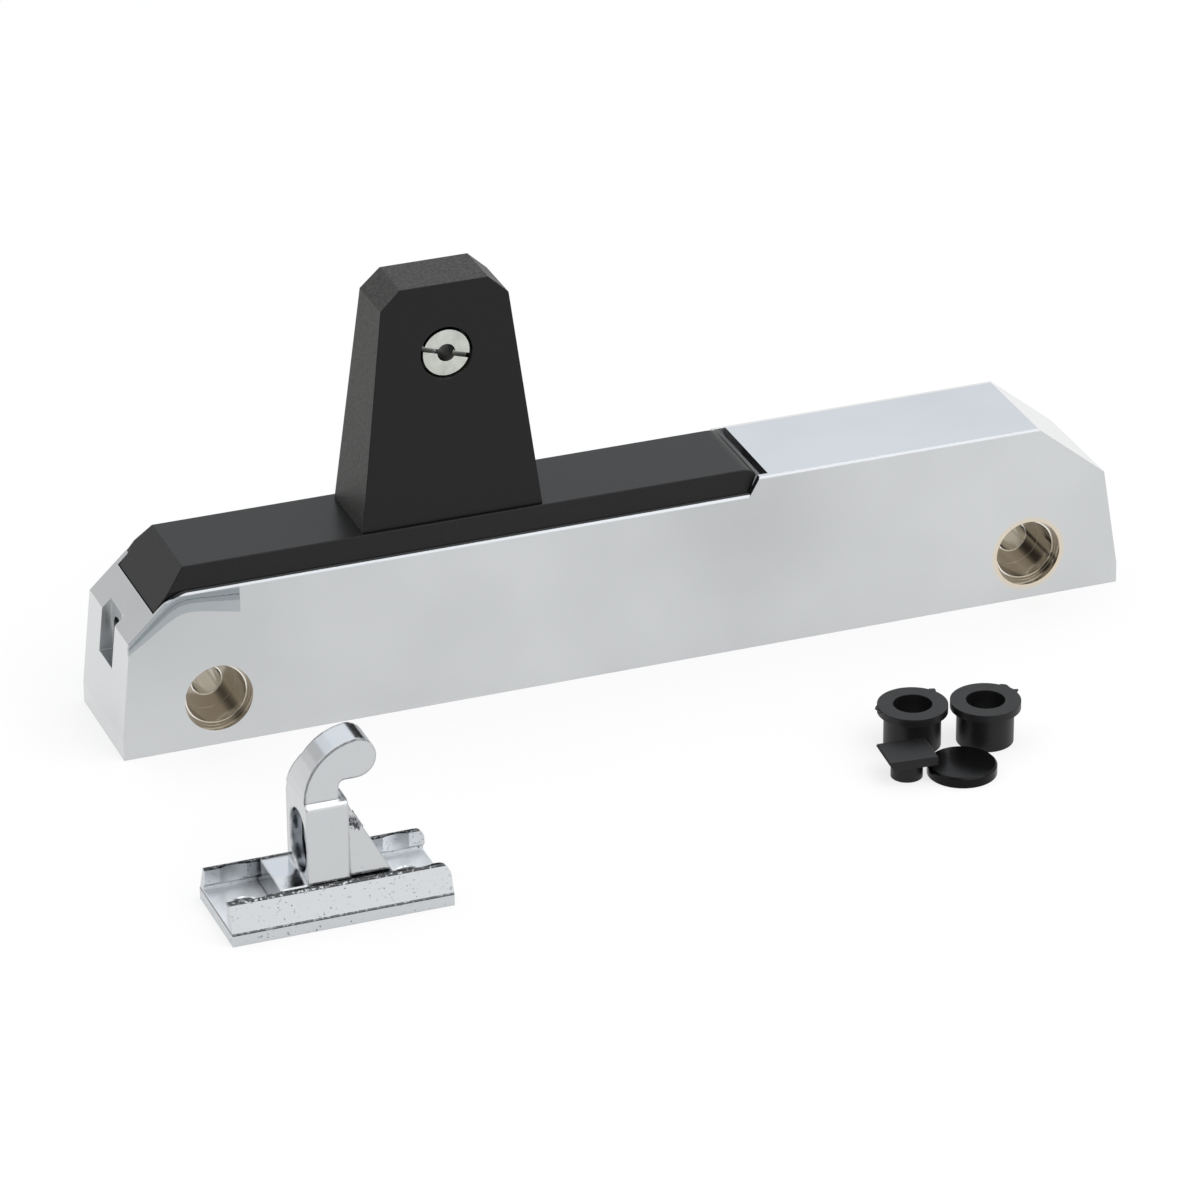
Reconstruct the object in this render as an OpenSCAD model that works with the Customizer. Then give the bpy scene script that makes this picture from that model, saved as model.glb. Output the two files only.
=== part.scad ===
// Cold room door handle: a rocker lever in a long die-cast housing, which lifts
// a latch bolt off a hook striker. The striker, two flanged bushes, a cap disc
// and a square plug stand loose in front of it.
// Drawing frame: x from the left end of the housing, y from the foot of its
// front face towards the door, z up from the surface it stands on. place()
// moves it to the part's frame, with the origin midway between the two fixing
// holes on the door face.

/* [Housing] */
// Length of the housing
body_l = 300; // [295:1:320]
// Depth of the housing at its foot, from front face to door face
body_d = 38; // [37.5:0.5:42]
// Height of the level rims beside the lever
rim_h = 47.4; // [46.8:0.1:48.2]
// Height of the raised deck at the right end above the rims
deck_rise = 5.1; // [4:0.1:8]
// Length of the flat top of the deck
deck_l = 85.6; // [82:0.1:90]
// Angle of the step between rim and deck, in degrees
step_angle = 60; // [45:1:80]
// Angle of the slope at the left end, in degrees
left_slope = 43.5; // [42:0.5:46]
// Height of the crease at the foot of the left slope
left_crease_h = 34.4; // [33.5:0.1:35]
// How far the left end leans in at its crease
left_lean = 3; // [2.5:0.1:3.5]
// Height of the crease at the foot of the right slope
right_crease_h = 35.6; // [33:0.1:38]
// How far the right end leans in at its crease
right_lean = 4.4; // [3:0.1:6]
// Length of the right slope, measured along the housing
right_slope_l = 20.8; // [18:0.1:24]
// Height of the upright foot of both ends
foot_h = 6; // [4:0.5:8]
// Draft of the front face, in degrees
front_draft = 1.57; // [0.5:0.01:2]
// Height of the flat zone of the door face
door_face_h = 28; // [27:0.5:32]
// Draft of the door face above its flat zone, in degrees
back_draft = 0.3; // [0:0.1:1]
// Thickness of each rim wall at its top
rim_t = 1.9; // [1.6:0.1:2.1]
// Thickness of the roof under the deck
roof_t = 3; // [2:0.1:4]
// Thickness of the right end wall
end_t = 3; // [2:0.1:4]
// Radius that joins the left slope to the rim
rim_round = 12; // [8:0.5:14]
// Bevel along the long top edges
edge_bevel = 0.6; // [0.3:0.1:0.9]
// Width of the broad bevel along the back of the deck
back_bevel_w = 2.8; // [1:0.1:4]
// Drop of that bevel
back_bevel_h = 0.9; // [0.3:0.1:1.5]
// How far the lever's slot runs on into the deck
slot_over = 3; // [1:0.1:5]

/* [Fixing holes] */
// Distance of each fixing hole from its end of the housing
hole_inset = 28; // [27:0.5:32]
// Height of the fixing holes above the foot
hole_h = 14; // [13.5:0.1:15]
// Diameter of the cap seat at the mouth of each hole
mouth_d = 19.6; // [19:0.1:20.5]
// Depth of the cap seat
mouth_depth = 3.2; // [2.5:0.1:4]
// Diameter of the bore for the screw head
head_bore_d = 17.3; // [16:0.1:18]
// Depth of the floor that the screw head seats on
head_bore_depth = 12; // [10:0.5:20]
// Diameter of the screw's clearance hole
screw_hole_d = 8.5; // [6.5:0.1:9]
// Wall around the cap seat
boss_t = 2.9; // [2:0.1:3.4]

/* [Lock pocket] */
// Width of the pocket in the left end
pocket_w = 12; // [11:0.1:13]
// Height of the pocket's floor
pocket_h = 21.4; // [20:0.1:22]
// Depth of the pocket's back wall from the left end
pocket_depth = 5.7; // [5:0.1:6.5]
// Diameter of the bore behind the pocket
lock_bore_d = 9.2; // [8.6:0.1:9.6]
// Height of the bore above the pocket's floor
lock_bore_rise = 7.5; // [6:0.1:8]

/* [Lever] */
// Depth of the lever's pivot below the rims
pivot_drop = 2.4; // [2.2:0.1:2.6]
// Diameter of the pivot shaft
shaft_d = 6; // [5.5:0.1:6.2]
// Gap between the lever bar and the rims
bar_gap = 0.35; // [0.3:0.05:0.5]
// Height of the bar's flat top above the rims
bar_rise = 5.9; // [5.6:0.1:7.1]
// Width of the bar's flat top
bar_top_w = 27.8; // [26:0.1:28]
// How far the middle of that top lies behind the pivot
bar_top_shift = 0.3; // [0.1:0.1:0.6]
// Depth below the rims at which the bar's flanks meet its round skirts
flank_drop = 0.2; // [0.1:0.1:0.8]
// Reach of the bar's rear lip over the back rim
lip_reach = 0.9; // [0.5:0.1:1.3]
// Gap between that lip and the rim under it
lip_gap = 0.5; // [0.4:0.05:0.8]
// Slope of the bar's left end, in degrees
bar_end_slope = 50.8; // [48:0.1:54]
// Thickness of the bar's roof
bar_roof_t = 3; // [2.8:0.1:3.2]
// Thickness of the bar's skirts
bar_t = 2.2; // [1.8:0.1:2.4]
// Depth of the skirts below the pivot
skirt_drop = 7; // [6:0.1:7.5]
// Gap between the right end of the bar and the end of its slot
bar_end_gap = 2.7; // [2:0.1:3]
// Radius at the top of the bar's right end
bar_end_round = 5; // [3:0.5:6]
// Drop of the top by the time it meets the right end face
bar_end_drop = 1.6; // [1:0.1:2]

/* [Paddle] */
// Place of the paddle's middle along the housing
paddle_x = 99.5; // [90:0.1:110]
// Width of the paddle at its base
paddle_w = 52.9; // [50:0.1:56]
// Depth of the paddle at its base
paddle_d = 24.4; // [22:0.1:26]
// How far the paddle's middle stands in front of the pivot
paddle_forward = 0.5; // [0.2:0.1:1]
// Height of the paddle above the bar
paddle_rise = 69.7; // [66:0.1:76]
// Width of the paddle at its shoulders
shoulder_w = 37.2; // [34:0.1:40]
// Width of the paddle's flat top
paddle_top_w = 25.6; // [22:0.1:28]
// Height of the sloped shoulders
shoulder_rise = 5.4; // [4:0.1:7]
// How far the front face leans back at the top
front_lean = 4; // [2:0.1:4.5]
// How far the back face leans forward at the top
back_lean = 3.5; // [2:0.1:4]
// Width of the core's tongue inside the paddle
tongue_w = 20; // [16:0.5:22]
// Thickness of the tongue
tongue_t = 10; // [8:0.5:10.5]
// Clearance around the tongue
tongue_gap = 0.2; // [0.1:0.05:0.4]

/* [Release bush] */
// Distance of the bush below the top of the paddle
bush_drop = 20.4; // [17:0.1:24]
// Diameter of the bush's head
bush_head_d = 13.6; // [12:0.1:14]
// Diameter of the hole for the head in the paddle
bush_hole_d = 15.2; // [14.6:0.1:16]
// Depth of the head below the paddle's face
bush_sink = 0.3; // [0.1:0.1:1]
// Diameter of the threaded shank
bush_shank_d = 10; // [8:0.1:11]
// Diameter of the round hole for the release rod
rod_hole_d = 5.2; // [4.5:0.1:6]
// Width of the screwdriver slot
bush_slot_w = 1.4; // [1:0.1:2]
// Depth of the screwdriver slot
bush_slot_depth = 1.6; // [1:0.1:2]
// Turn of the slot from level, in degrees
bush_slot_turn = 16; // [-90:1:90]

/* [Latch] */
// Distance of the latch bolt from the end of the deck
bolt_inset = 39.2; // [39:0.1:40.2]
// Width of the bolt
bolt_w = 17; // [16:0.5:18]
// Thickness of the bolt
bolt_t = 7; // [6.5:0.1:7.2]
// Height of the bolt's toe above the foot
bolt_toe_h = 9.6; // [8:0.1:11]
// Running gap around the bolt
bolt_gap = 0.3; // [0.25:0.05:0.4]
// Reach of the lifting knob from the pivot towards the door
knob_reach = 11; // [10.6:0.1:11.2]
// Drop of the lifting knob below the pivot
knob_drop = 6.5; // [6.3:0.1:6.8]
// Diameter of the lifting knob
knob_d = 4.8; // [4.4:0.1:4.9]
// Thickness of the lifting arm
arm_t = 6; // [5:0.1:7]
// Thickness of the webs on both sides of the bolt
web_t = 6; // [5:0.1:7]
// Depth of the webs' top below the pivot
web_drop = 15; // [14.8:0.1:16]
// Thickness of the guide plate on the webs
guide_t = 2; // [1.5:0.1:2.1]
// Height of the rubber buffers on the guide plate
buffer_h = 2.4; // [2:0.1:2.5]

/* [Striker] */
// Length of the striker base
striker_l = 61.6; // [58:0.1:66]
// Width of the striker base
striker_w = 28.2; // [28:0.1:31]
// Height of the striker's channel walls
channel_h = 11.1; // [10.8:0.1:11.5]
// Height of the upright plinth under the walls
plinth_h = 3.4; // [2.5:0.1:3.8]
// How far each wall leans in from plinth to top
wall_lean = 3.2; // [2.6:0.1:3.4]
// Width of the channel between the walls
channel_w = 19; // [18.8:0.1:19.3]
// Height of the channel's floor
channel_floor_h = 4; // [3:0.1:4.5]
// Depth of the undercut that holds the slider, on each side
undercut = 1.3; // [0.8:0.1:1.5]
// Height of the undercut
undercut_h = 2.4; // [2:0.1:3]
// Gap between the slider and its channel
slide_gap = 0.3; // [0.25:0.05:0.4]
// Distance of each striker screw from the end of the base
seat_inset = 8.1; // [7.6:0.1:9]
// Diameter of the striker's screw holes
seat_hole_d = 5.5; // [4.5:0.1:6.5]
// Diameter of the relief around each screw head
seat_relief_d = 20.4; // [19.8:0.1:20.8]

/* [Hook] */
// Place of the foot pad's free end along the striker base
pad_x = 15; // [14:0.1:16]
// Length of the foot pad in front of the block
pad_l = 7.7; // [6:0.1:9]
// Height of the foot pad's top
pad_h = 12; // [11.6:0.1:12.4]
// Width of the bevel along the pad's front edge
pad_bevel_w = 6; // [4:0.5:8]
// Drop of that bevel
pad_bevel_h = 0.7; // [0.3:0.1:1]
// Length of the block, along the striker
block_l = 11.7; // [11:0.1:13]
// Width of the block and of the foot pad
block_w = 16.8; // [16.5:0.1:17]
// How far the block stands in front of the channel's middle
block_shift = 0.8; // [0.5:0.1:0.9]
// Height of the block's front edge
block_h = 33; // [32:0.1:34]
// Height of the rounded ledge on the block
ledge_h = 1.3; // [0.8:0.1:1.6]
// Width of that ledge, in front of the hook
ledge_w = 1.6; // [1:0.1:2]
// Height of the whole striker
hook_h = 51.3; // [50.6:0.1:52.5]
// Depth of the hook at its nose
hook_t = 10; // [9:0.1:11]
// Radius of the hook's curved back
hook_r = 16.4; // [16:0.1:17]
// Radius of the hook's round nose
nose_r = 5.7; // [5:0.1:6]
// Reach of the nose from the face of the block
nose_reach = 20.2; // [19:0.1:22]
// Thickness of the hook's stem above the block
stem_l = 9.6; // [9:0.1:10]
// Radius in the corner of the throat
throat_r = 1.6; // [1:0.1:2]
// Length of the gusset behind the block at the channel's top
gusset_l = 13.1; // [11:0.1:14]
// Width of the gusset
gusset_w = 15.6; // [14:0.1:16]
// Width of the oval recess in the block
recess_w = 13.2; // [12.8:0.1:13.4]
// Height of the oval recess
recess_h = 18.2; // [17:0.1:18.6]
// Depth of the oval recess
recess_depth = 7.5; // [6:0.1:8.5]
// Diameter of the clamp screw's head
clamp_head_d = 12; // [11:0.1:12.2]
// Diameter of the clamp screw's shank
clamp_d = 6; // [5:0.1:6.5]

/* [Loose pieces] */
// Diameter of the bushes' flanges
flange_d = 19.7; // [18:0.1:20]
// Thickness of the bushes' flanges
flange_t = 2.2; // [1.5:0.1:3]
// Diameter of the bushes' barrels
barrel_d = 16; // [14:0.1:16.5]
// Bore of the bushes
flanged_bore_d = 10.9; // [9:0.1:12]
// Height of the bushes
flanged_h = 12.3; // [11:0.1:15]
// Play of the cap disc in its seat
cap_play = 0.1; // [0.1:0.05:0.4]
// Thickness of the cap disc
cap_t = 3; // [2.5:0.1:3.2]
// Width of the plug's head, across the pocket
plug_w = 11.6; // [10.5:0.1:11.7]
// Length of the plug's head, up the pocket
plug_l = 12.6; // [12:0.1:12.8]
// Thickness of the plug's head
plug_t = 2.7; // [2.2:0.1:3]
// Height of the plug's round stub
stub_h = 5; // [4.6:0.1:6]
// Play of the stub in the lock bore
stub_play = 0.3; // [0.2:0.05:0.5]

/* [Hidden] */
$fn = 64;
// Overlap that keeps cuts and joined solids clean
eps = 0.01;
// Clearance between pieces that move past each other
play = 0.3;
// Reach of a cut that passes right through
far = 400;

// Housing, derived
deck_h = rim_h + deck_rise;
lever_y = body_d / 2;
front_slope = tan(front_draft);
rim_depth = body_d - rim_h * front_slope - (rim_h - door_face_h) * tan(back_draft);
cavity_half = rim_depth / 2 - rim_t;
cavity_y = rim_h * front_slope + rim_t + cavity_half;
deck_x = body_l - right_lean - right_slope_l - deck_l;
deck_end_x = deck_x + deck_l;
step_x = deck_x - (deck_h - rim_h) / tan(step_angle);
slot_x1 = deck_x + slot_over;
round_rise = rim_round * (1 - cos(left_slope));
round_x = left_lean + (rim_h - round_rise - left_crease_h) / tan(left_slope);
slot_x = left_lean + 7.8;
slot_lip_h = left_crease_h + (slot_x - left_lean) * tan(left_slope);
hole_x = [hole_inset, body_l - hole_inset];
boss_r = mouth_d / 2 + boss_t;

// Lever, derived: heights and depths are taken from the pivot
pivot_h = rim_h - pivot_drop;
bar_top_h = rim_h + bar_rise;
bar_flank_h = rim_h - flank_drop;
bolt_x = deck_x - bolt_inset;
web_h = pivot_h - web_drop;
bar_r = cavity_half - bar_gap;
bar_flank_z = bar_flank_h - pivot_h;
bar_flank_y = sqrt(bar_r * bar_r - bar_flank_z * bar_flank_z);
bar_top_z = bar_top_h - pivot_h;
bar_ceiling_z = bar_top_z - bar_roof_t;
bar_x0 = slot_x + bar_gap;
bar_x1 = slot_x1 - bar_end_gap;
bar_front = bar_top_shift - bar_top_w / 2;
bar_back = bar_top_shift + bar_top_w / 2;
lip_y = cavity_half + lip_reach;
lip_z = rim_h + lip_gap - pivot_h;
bar_slope_x = bar_x0 + (bar_top_h - slot_lip_h) / tan(bar_end_slope);
bar_end_wall = bar_t / sin(bar_end_slope);
bar_corner_h = bar_top_h - bar_end_drop;
bar_foot_x = bar_x1 - (bar_corner_h - rim_h) / tan(step_angle);
bar_round_a = acos(1 - bar_end_drop / bar_end_round);
fit_gap = 0.06;
shaft_r = shaft_d / 2;
pedestal_t = 6;
pedestal_r = bar_ceiling_z - 0.5;
pedestal_web_h = pivot_h - web_drop;
pedestal_inset = 8.5;
pedestal_end_gap = 10.6;
pedestal_x = [bar_slope_x + pedestal_inset, bar_x1 - pedestal_end_gap];
clip_t = 0.8;
clip_r = bar_ceiling_z - bar_gap;
groove_r = shaft_r * 0.78;
shaft_over = play + clip_t + 0.9;
shaft_x0 = pedestal_x[0] - pedestal_t / 2 - shaft_over;
shaft_x1 = pedestal_x[1] + pedestal_t / 2 + shaft_over;

// Springs and core, derived
wire_d = 1.3;
spring_turns = 6;
spring_l = 10;
spring_r = shaft_r + play + wire_d / 2;
spring_gap = wire_d / 2 + play;
liner_flange_t = 0.6;
core_gap = spring_l + 2 * spring_gap + liner_flange_t;
core_x0 = pedestal_x[0] + pedestal_t / 2 + core_gap;
core_x1 = pedestal_x[1] - pedestal_t / 2 - core_gap;
core_half = 10;
core_drop = 2;
core_top_z = bar_ceiling_z;
groove_half = shaft_r + 1.2;
groove_top_z = shaft_r + 0.2;
boss_core_r = 6.3;
boss_core_l = 12;
liner_l = 9;
liner_t = 1.4;
lug_l = 3.5;
bar_screw_inset = 20;
bar_screw_x = [core_x0 + bar_screw_inset, bolt_x - bar_screw_inset];
bar_screw_y = 7;
bar_screw_r = 1.5;
bar_head_r = 2.3;
bar_head_h = 1.8;
arm_window_y = 7;

// Paddle and bush, derived
paddle_top_h = bar_top_h + paddle_rise;
shoulder_h = paddle_top_h - shoulder_rise;
bush_h = paddle_top_h - bush_drop;
paddle_front_y = cavity_y - paddle_forward - paddle_d / 2;
paddle_back_y = paddle_front_y + paddle_d;
bush_face_y = paddle_front_y + front_lean * (bush_h - bar_top_h) / paddle_rise;
tongue_h = bush_h + bush_shank_d / 2 + 3.5;
bush_head_l = cavity_y - tongue_t / 2 - bush_face_y - bush_sink;
rod_exit_d = rod_hole_d + 4;

// Latch, derived
bolt_front_y = cavity_y + cavity_half - bolt_t - 1.2;
bolt_back_y = bolt_front_y + bolt_t;
knob_z = pivot_h - knob_drop;
knob_y = cavity_y + knob_reach;
knob_r = knob_d / 2;
arm_angle = atan2(-knob_drop, knob_reach);
arm_shank = 3;
bolt_ceiling_h = knob_z + knob_r + bolt_gap;
bolt_floor_h = knob_z - knob_r - bolt_gap;
bolt_head_t = 3;
bolt_top_h = bolt_ceiling_h + bolt_head_t;
flare = 2.2;
web_in = bolt_w / 2 + bolt_gap;
web_mid = web_in + web_t / 2;
head_half = web_in + web_t * 0.7;
guide_top_h = web_h + guide_t;
shoulder_z = guide_top_h + buffer_h + bolt_gap;
guide_screw_y = cavity_y - 7;
guide_screw_r = 1.5;
guide_screw_l = 7.5;
window_h = 22;

// Striker, derived
striker_x = -4;
striker_y = -109;
striker_mid_y = striker_y + striker_w / 2;
seat_x = [striker_x + seat_inset, striker_x + striker_l - seat_inset];
block_x = striker_x + pad_x + pad_l;
slider_half = channel_w / 2 - slide_gap;
slider_h0 = channel_floor_h + slide_gap;
gusset_x = block_x + block_l;
block_y = striker_mid_y - block_shift;
block_y0 = block_y - block_w / 2;
block_y1 = block_y + block_w / 2;
block_top = block_h + ledge_h;
hook_y0 = block_y0 + ledge_w;
nose_x = block_x + nose_reach - nose_r;
nose_z = hook_h - nose_r;
arc_x = block_x + hook_r;
arc_z = hook_h - hook_r + 0.1;
throat_z = nose_z - nose_r;
recess_z = pad_h + 0.1 + recess_h / 2;
recess_y = block_y0 + 0.9 + recess_w / 2;
clamp_z = recess_z - 1;
clamp_head_h = 4;
nut_w = 10;
nut_t = 5;
nut_wall = 3;
nut_x = block_x + recess_depth + nut_wall;

// Loose pieces, derived
bush_r = flange_d / 2;
bush_right_at = [225.6, -74.8];
bush_left_at = [205.9, -69.7];
cap_at = [212.1, -90];
plug_at = [197.2, -86.3];
plug_turn = -5;
plug_foot = lock_bore_rise - 0.3;
lip_w = 1.6;

// Moves the drawing to the part's frame
module place() {
  translate([-body_l / 2, -body_d, -hole_h]) children();
}

// Extrudes an outline drawn in x and z along y
module along_y(y0, y1) {
  translate([0, y1, 0]) rotate([90, 0, 0]) linear_extrude(y1 - y0) children();
}

// Extrudes an outline drawn in y and z along x
module along_x(x0, x1) {
  translate([x0, 0, 0]) rotate([90, 0, 90]) linear_extrude(x1 - x0) children();
}

// A cylinder along y from one depth to another
module rod_y(x, z, r, y0, y1) {
  translate([x, y1, z]) rotate([90, 0, 0]) cylinder(r = r, h = y1 - y0);
}

// A cylinder along x from one place to another
module rod_x(y, z, r, x0, x1) {
  translate([x0, y, z]) rotate([0, 90, 0]) cylinder(r = r, h = x1 - x0);
}

// A box between two corners
module box(a, b) {
  translate(a) cube(b - a);
}

// Outline of the housing up to its rims
module rim_profile() {
  polygon(concat(
    [[0, 0], [0, foot_h], [left_lean, left_crease_h]],
    [for (a = [90 + left_slope : -left_slope / 6 : 90 + 0.1])
      [round_x + rim_round * sin(left_slope) + rim_round * cos(a), rim_h - rim_round + rim_round * sin(a)]],
    [[slot_x1, rim_h], [slot_x1, 0]]));
}

// Outline of the housing at its deck
module deck_profile() {
  polygon([[step_x, 0], [step_x, rim_h], [deck_x, deck_h], [deck_end_x, deck_h],
    [body_l - right_lean, right_crease_h], [body_l, foot_h], [body_l, 0]]);
}

// Cross-section of the housing, bevelled along its top edges
module body_section(top_h, bevel_w, bevel_h) {
  front_h = top_h - edge_bevel;
  back_h = top_h - bevel_h;
  back_y = body_d - (back_h - door_face_h) * tan(back_draft);
  polygon([[0, 0], [front_h * front_slope, front_h], [front_h * front_slope + edge_bevel, top_h],
    [back_y - bevel_w, top_h], [back_y, back_h], [body_d, door_face_h], [body_d, 0]]);
}

module body_solid() {
  intersection() {
    along_y(-eps, body_d + eps) rim_profile();
    along_x(-eps, slot_x1) body_section(rim_h, edge_bevel, edge_bevel);
  }
  intersection() {
    along_y(-eps, body_d + eps) deck_profile();
    along_x(step_x, body_l + eps) body_section(deck_h, back_bevel_w, back_bevel_h);
  }
}

// Inside of the housing, open below, and above where the lever sits
module body_cavity() {
  y0 = cavity_y - cavity_half;
  y1 = cavity_y + cavity_half;
  box([slot_x, y0, -eps], [slot_x1, y1, deck_h + 1]);
  along_y(y0, y1) polygon([[slot_x1 - eps, -eps], [slot_x1 - eps, deck_h - roof_t],
    [deck_end_x - roof_t / 2, deck_h - roof_t], [body_l - right_lean - end_t, right_crease_h - roof_t],
    [body_l - end_t, foot_h], [body_l - end_t, -eps]]);
}

// Bearing pedestal of the pivot shaft, with an ear for the spring's fixed leg
module pedestal(x, side) {
  y0 = cavity_y - cavity_half - eps;
  y1 = cavity_y + cavity_half + eps;
  box([x - pedestal_t / 2, y0, hole_h / 2], [x + pedestal_t / 2, y1, pedestal_web_h]);
  box([x - pedestal_t / 2, cavity_y - pedestal_r, hole_h],
    [x + pedestal_t / 2, cavity_y + pedestal_r, pivot_h]);
  rod_x(cavity_y, pivot_h, pedestal_r, x - pedestal_t / 2, x + pedestal_t / 2);
  ear_x = x + side * (pedestal_t / 2 + 1.5);
  box([ear_x - 1.5 - eps, cavity_y - spring_r + wire_d / 2 + play, hole_h],
    [ear_x + 1.5 + eps, cavity_y + pedestal_r, pivot_h - spring_r - wire_d - 0.6]);
}

module fixing_hole(x) {
  rod_y(x, hole_h, mouth_d / 2, -1, mouth_depth);
  rod_y(x, hole_h, head_bore_d / 2, 0, head_bore_depth);
  rod_y(x, hole_h, screw_hole_d / 2, 0, body_d + 1);
}

module housing() {
  color([0.82, 0.83, 0.84]) place() difference() {
    union() {
      difference() {
        body_solid();
        body_cavity();
      }
      intersection() {
        body_solid();
        union() {
          for (x = hole_x) rod_y(x, hole_h, boss_r, 0, body_d);
          for (s = [-1, 1])
            box([bolt_x + s * web_mid - web_t / 2, eps, 2],
              [bolt_x + s * web_mid + web_t / 2, body_d - eps, web_h]);
        }
      }
      pedestal(pedestal_x[0], 1);
      pedestal(pedestal_x[1], -1);
    }
    for (x = hole_x) fixing_hole(x);
    box([-1, lever_y + 1.2 - pocket_w / 2, pocket_h], [pocket_depth, lever_y + 1.2 + pocket_w / 2, rim_h]);
    rod_x(lever_y + 1.2, pocket_h + lock_bore_rise, lock_bore_d / 2, 0, slot_x + 1);
    rod_x(cavity_y, pivot_h, shaft_r + fit_gap, slot_x, slot_x1);
    box([bolt_x - web_in, cavity_y + cavity_half - eps, -1], [bolt_x + web_in, body_d + 1, window_h]);
    for (s = [-1, 1])
      translate([bolt_x + s * web_mid, guide_screw_y, web_h - guide_screw_l - 0.5])
        cylinder(r = guide_screw_r, h = guide_screw_l + 1.5);
  }
}

module pivot_shaft() {
  color([0.7, 0.71, 0.73]) place() difference() {
    rod_x(cavity_y, pivot_h, shaft_r, shaft_x0, shaft_x1);
    for (x = [shaft_x0 + 0.9, shaft_x1 - 0.9 - clip_t])
      translate([x, cavity_y, pivot_h]) rotate([0, 90, 0]) difference() {
        cylinder(r = shaft_r + 1, h = clip_t);
        translate([0, 0, -eps]) cylinder(r = groove_r, h = clip_t + 2 * eps);
      }
  }
}

module shaft_clips() {
  color([0.35, 0.35, 0.37]) place() for (x = [shaft_x0 + 0.9, shaft_x1 - 0.9 - clip_t])
    difference() {
      rod_x(cavity_y, pivot_h, clip_r, x + 0.05, x + clip_t - 0.05);
      rod_x(cavity_y, pivot_h, groove_r, x, x + clip_t);
      box([x, cavity_y - groove_r * 0.8, pivot_h - clip_r - 1],
        [x + clip_t, cavity_y + groove_r * 0.8, pivot_h]);
    }
}

// Lifting arm in y and z, drawn from the pivot
module arm_outline() {
  circle(r = boss_core_r);
  rotate(arm_angle) translate([0, -arm_shank / 2]) square([norm([knob_reach, knob_drop]), arm_shank]);
  translate([knob_reach, -knob_drop]) circle(r = knob_r);
}

module core_section() {
  difference() {
    translate([-core_half, -core_drop]) square([2 * core_half, core_top_z + core_drop]);
    translate([-groove_half, -core_drop - 1]) square([2 * groove_half, groove_top_z + core_drop + 1]);
  }
}

module lever_core() {
  color([0.62, 0.63, 0.64]) place() difference() {
    union() {
      difference() {
        translate([0, cavity_y, pivot_h]) along_x(core_x0, core_x1) core_section();
        box([bolt_x - head_half - 0.8, cavity_y + groove_half - eps, pivot_h - core_drop - 1],
          [core_x1 + 1, cavity_y + core_half + 1, pivot_h + groove_top_z]);
      }
      for (x = [core_x0, core_x1 - boss_core_l])
        intersection() {
          rod_x(cavity_y, pivot_h, boss_core_r, x, x + boss_core_l);
          box([x - 1, 0, 0], [x + boss_core_l + 1, body_d, pivot_h + core_top_z]);
        }
      translate([0, cavity_y, pivot_h]) intersection() {
        along_x(bolt_x - arm_t / 2, bolt_x + arm_t / 2) arm_outline();
        box([0, -far, -far], [far, far, core_top_z]);
      }
      for (x = [core_x0 - lug_l, core_x1])
        box([x - eps, cavity_y + core_half - 4, pivot_h - core_drop],
          [x + lug_l + eps, cavity_y + core_half, pivot_h + spring_r - wire_d / 2 - play]);
      box([core_x1 - 6, cavity_y + boss_core_r - 1, pivot_h + groove_top_z - 1.4],
        [core_x1, cavity_y + core_half, pivot_h + core_top_z]);
      box([paddle_x - tongue_w / 2, cavity_y - tongue_t / 2, pivot_h + groove_top_z],
        [paddle_x + tongue_w / 2, cavity_y + tongue_t / 2, tongue_h]);
    }
    rod_x(cavity_y, pivot_h, shaft_r + play, core_x0 - 1, core_x1 + 1);
    rod_x(cavity_y, pivot_h, shaft_r + liner_t, core_x0 - 1, core_x0 + liner_l);
    rod_x(cavity_y, pivot_h, shaft_r + liner_t, core_x1 - liner_l, core_x1 + 1);
    rod_y(paddle_x, bush_h, bush_shank_d / 2, 0, body_d);
    for (x = bar_screw_x, s = [-1, 1]) {
      translate([x, cavity_y + s * bar_screw_y, 0]) cylinder(r = bar_screw_r, h = far);
      translate([x, cavity_y + s * bar_screw_y, 0])
        cylinder(r = bar_head_r + 0.2, h = pivot_h - core_drop + bar_head_h);
    }
  }
}

module pivot_bushes() {
  color([0.9, 0.89, 0.84]) place() for (m = [0, 1])
    translate([m * (core_x0 + core_x1), 0, 0]) mirror([m, 0, 0]) difference() {
      union() {
        rod_x(cavity_y, pivot_h, shaft_r + liner_t, core_x0, core_x0 + liner_l);
        rod_x(cavity_y, pivot_h, shaft_r + liner_t + 0.7, core_x0 - liner_flange_t, core_x0);
      }
      rod_x(cavity_y, pivot_h, shaft_r + fit_gap, core_x0 - 2, core_x0 + liner_l + 1);
    }
}

// Upper part of the lever bar's cross-section about the pivot: a flat top, a
// sloped front flank, and at the back a flank that ends in a lip
module bar_crown() {
  polygon([[-bar_flank_y, bar_flank_z], [bar_front, bar_top_z], [bar_back, bar_top_z], [lip_y, lip_z],
    [lip_y, -skirt_drop], [bar_flank_y - 1, -skirt_drop], [bar_flank_y - 1, bar_flank_z - 1],
    [1 - bar_flank_y, bar_flank_z - 1]]);
}

// The bar without its hollow, with the lip trimmed to the rim it lies over
module bar_solid() {
  difference() {
    translate([0, cavity_y, pivot_h]) along_x(bar_x0, bar_x1) bar_crown();
    translate([0, 0, lip_gap]) along_y(cavity_y + bar_flank_y - 1, body_d + 1) rim_profile();
    translate([-lip_gap, 0, lip_gap]) along_y(cavity_y + bar_flank_y, body_d + 1) deck_profile();
  }
  intersection() {
    rod_x(cavity_y, pivot_h, bar_r, bar_x0, bar_x1);
    box([bar_x0 - 1, 0, pivot_h - skirt_drop], [bar_x1 + 1, body_d, bar_flank_h]);
  }
}

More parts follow.
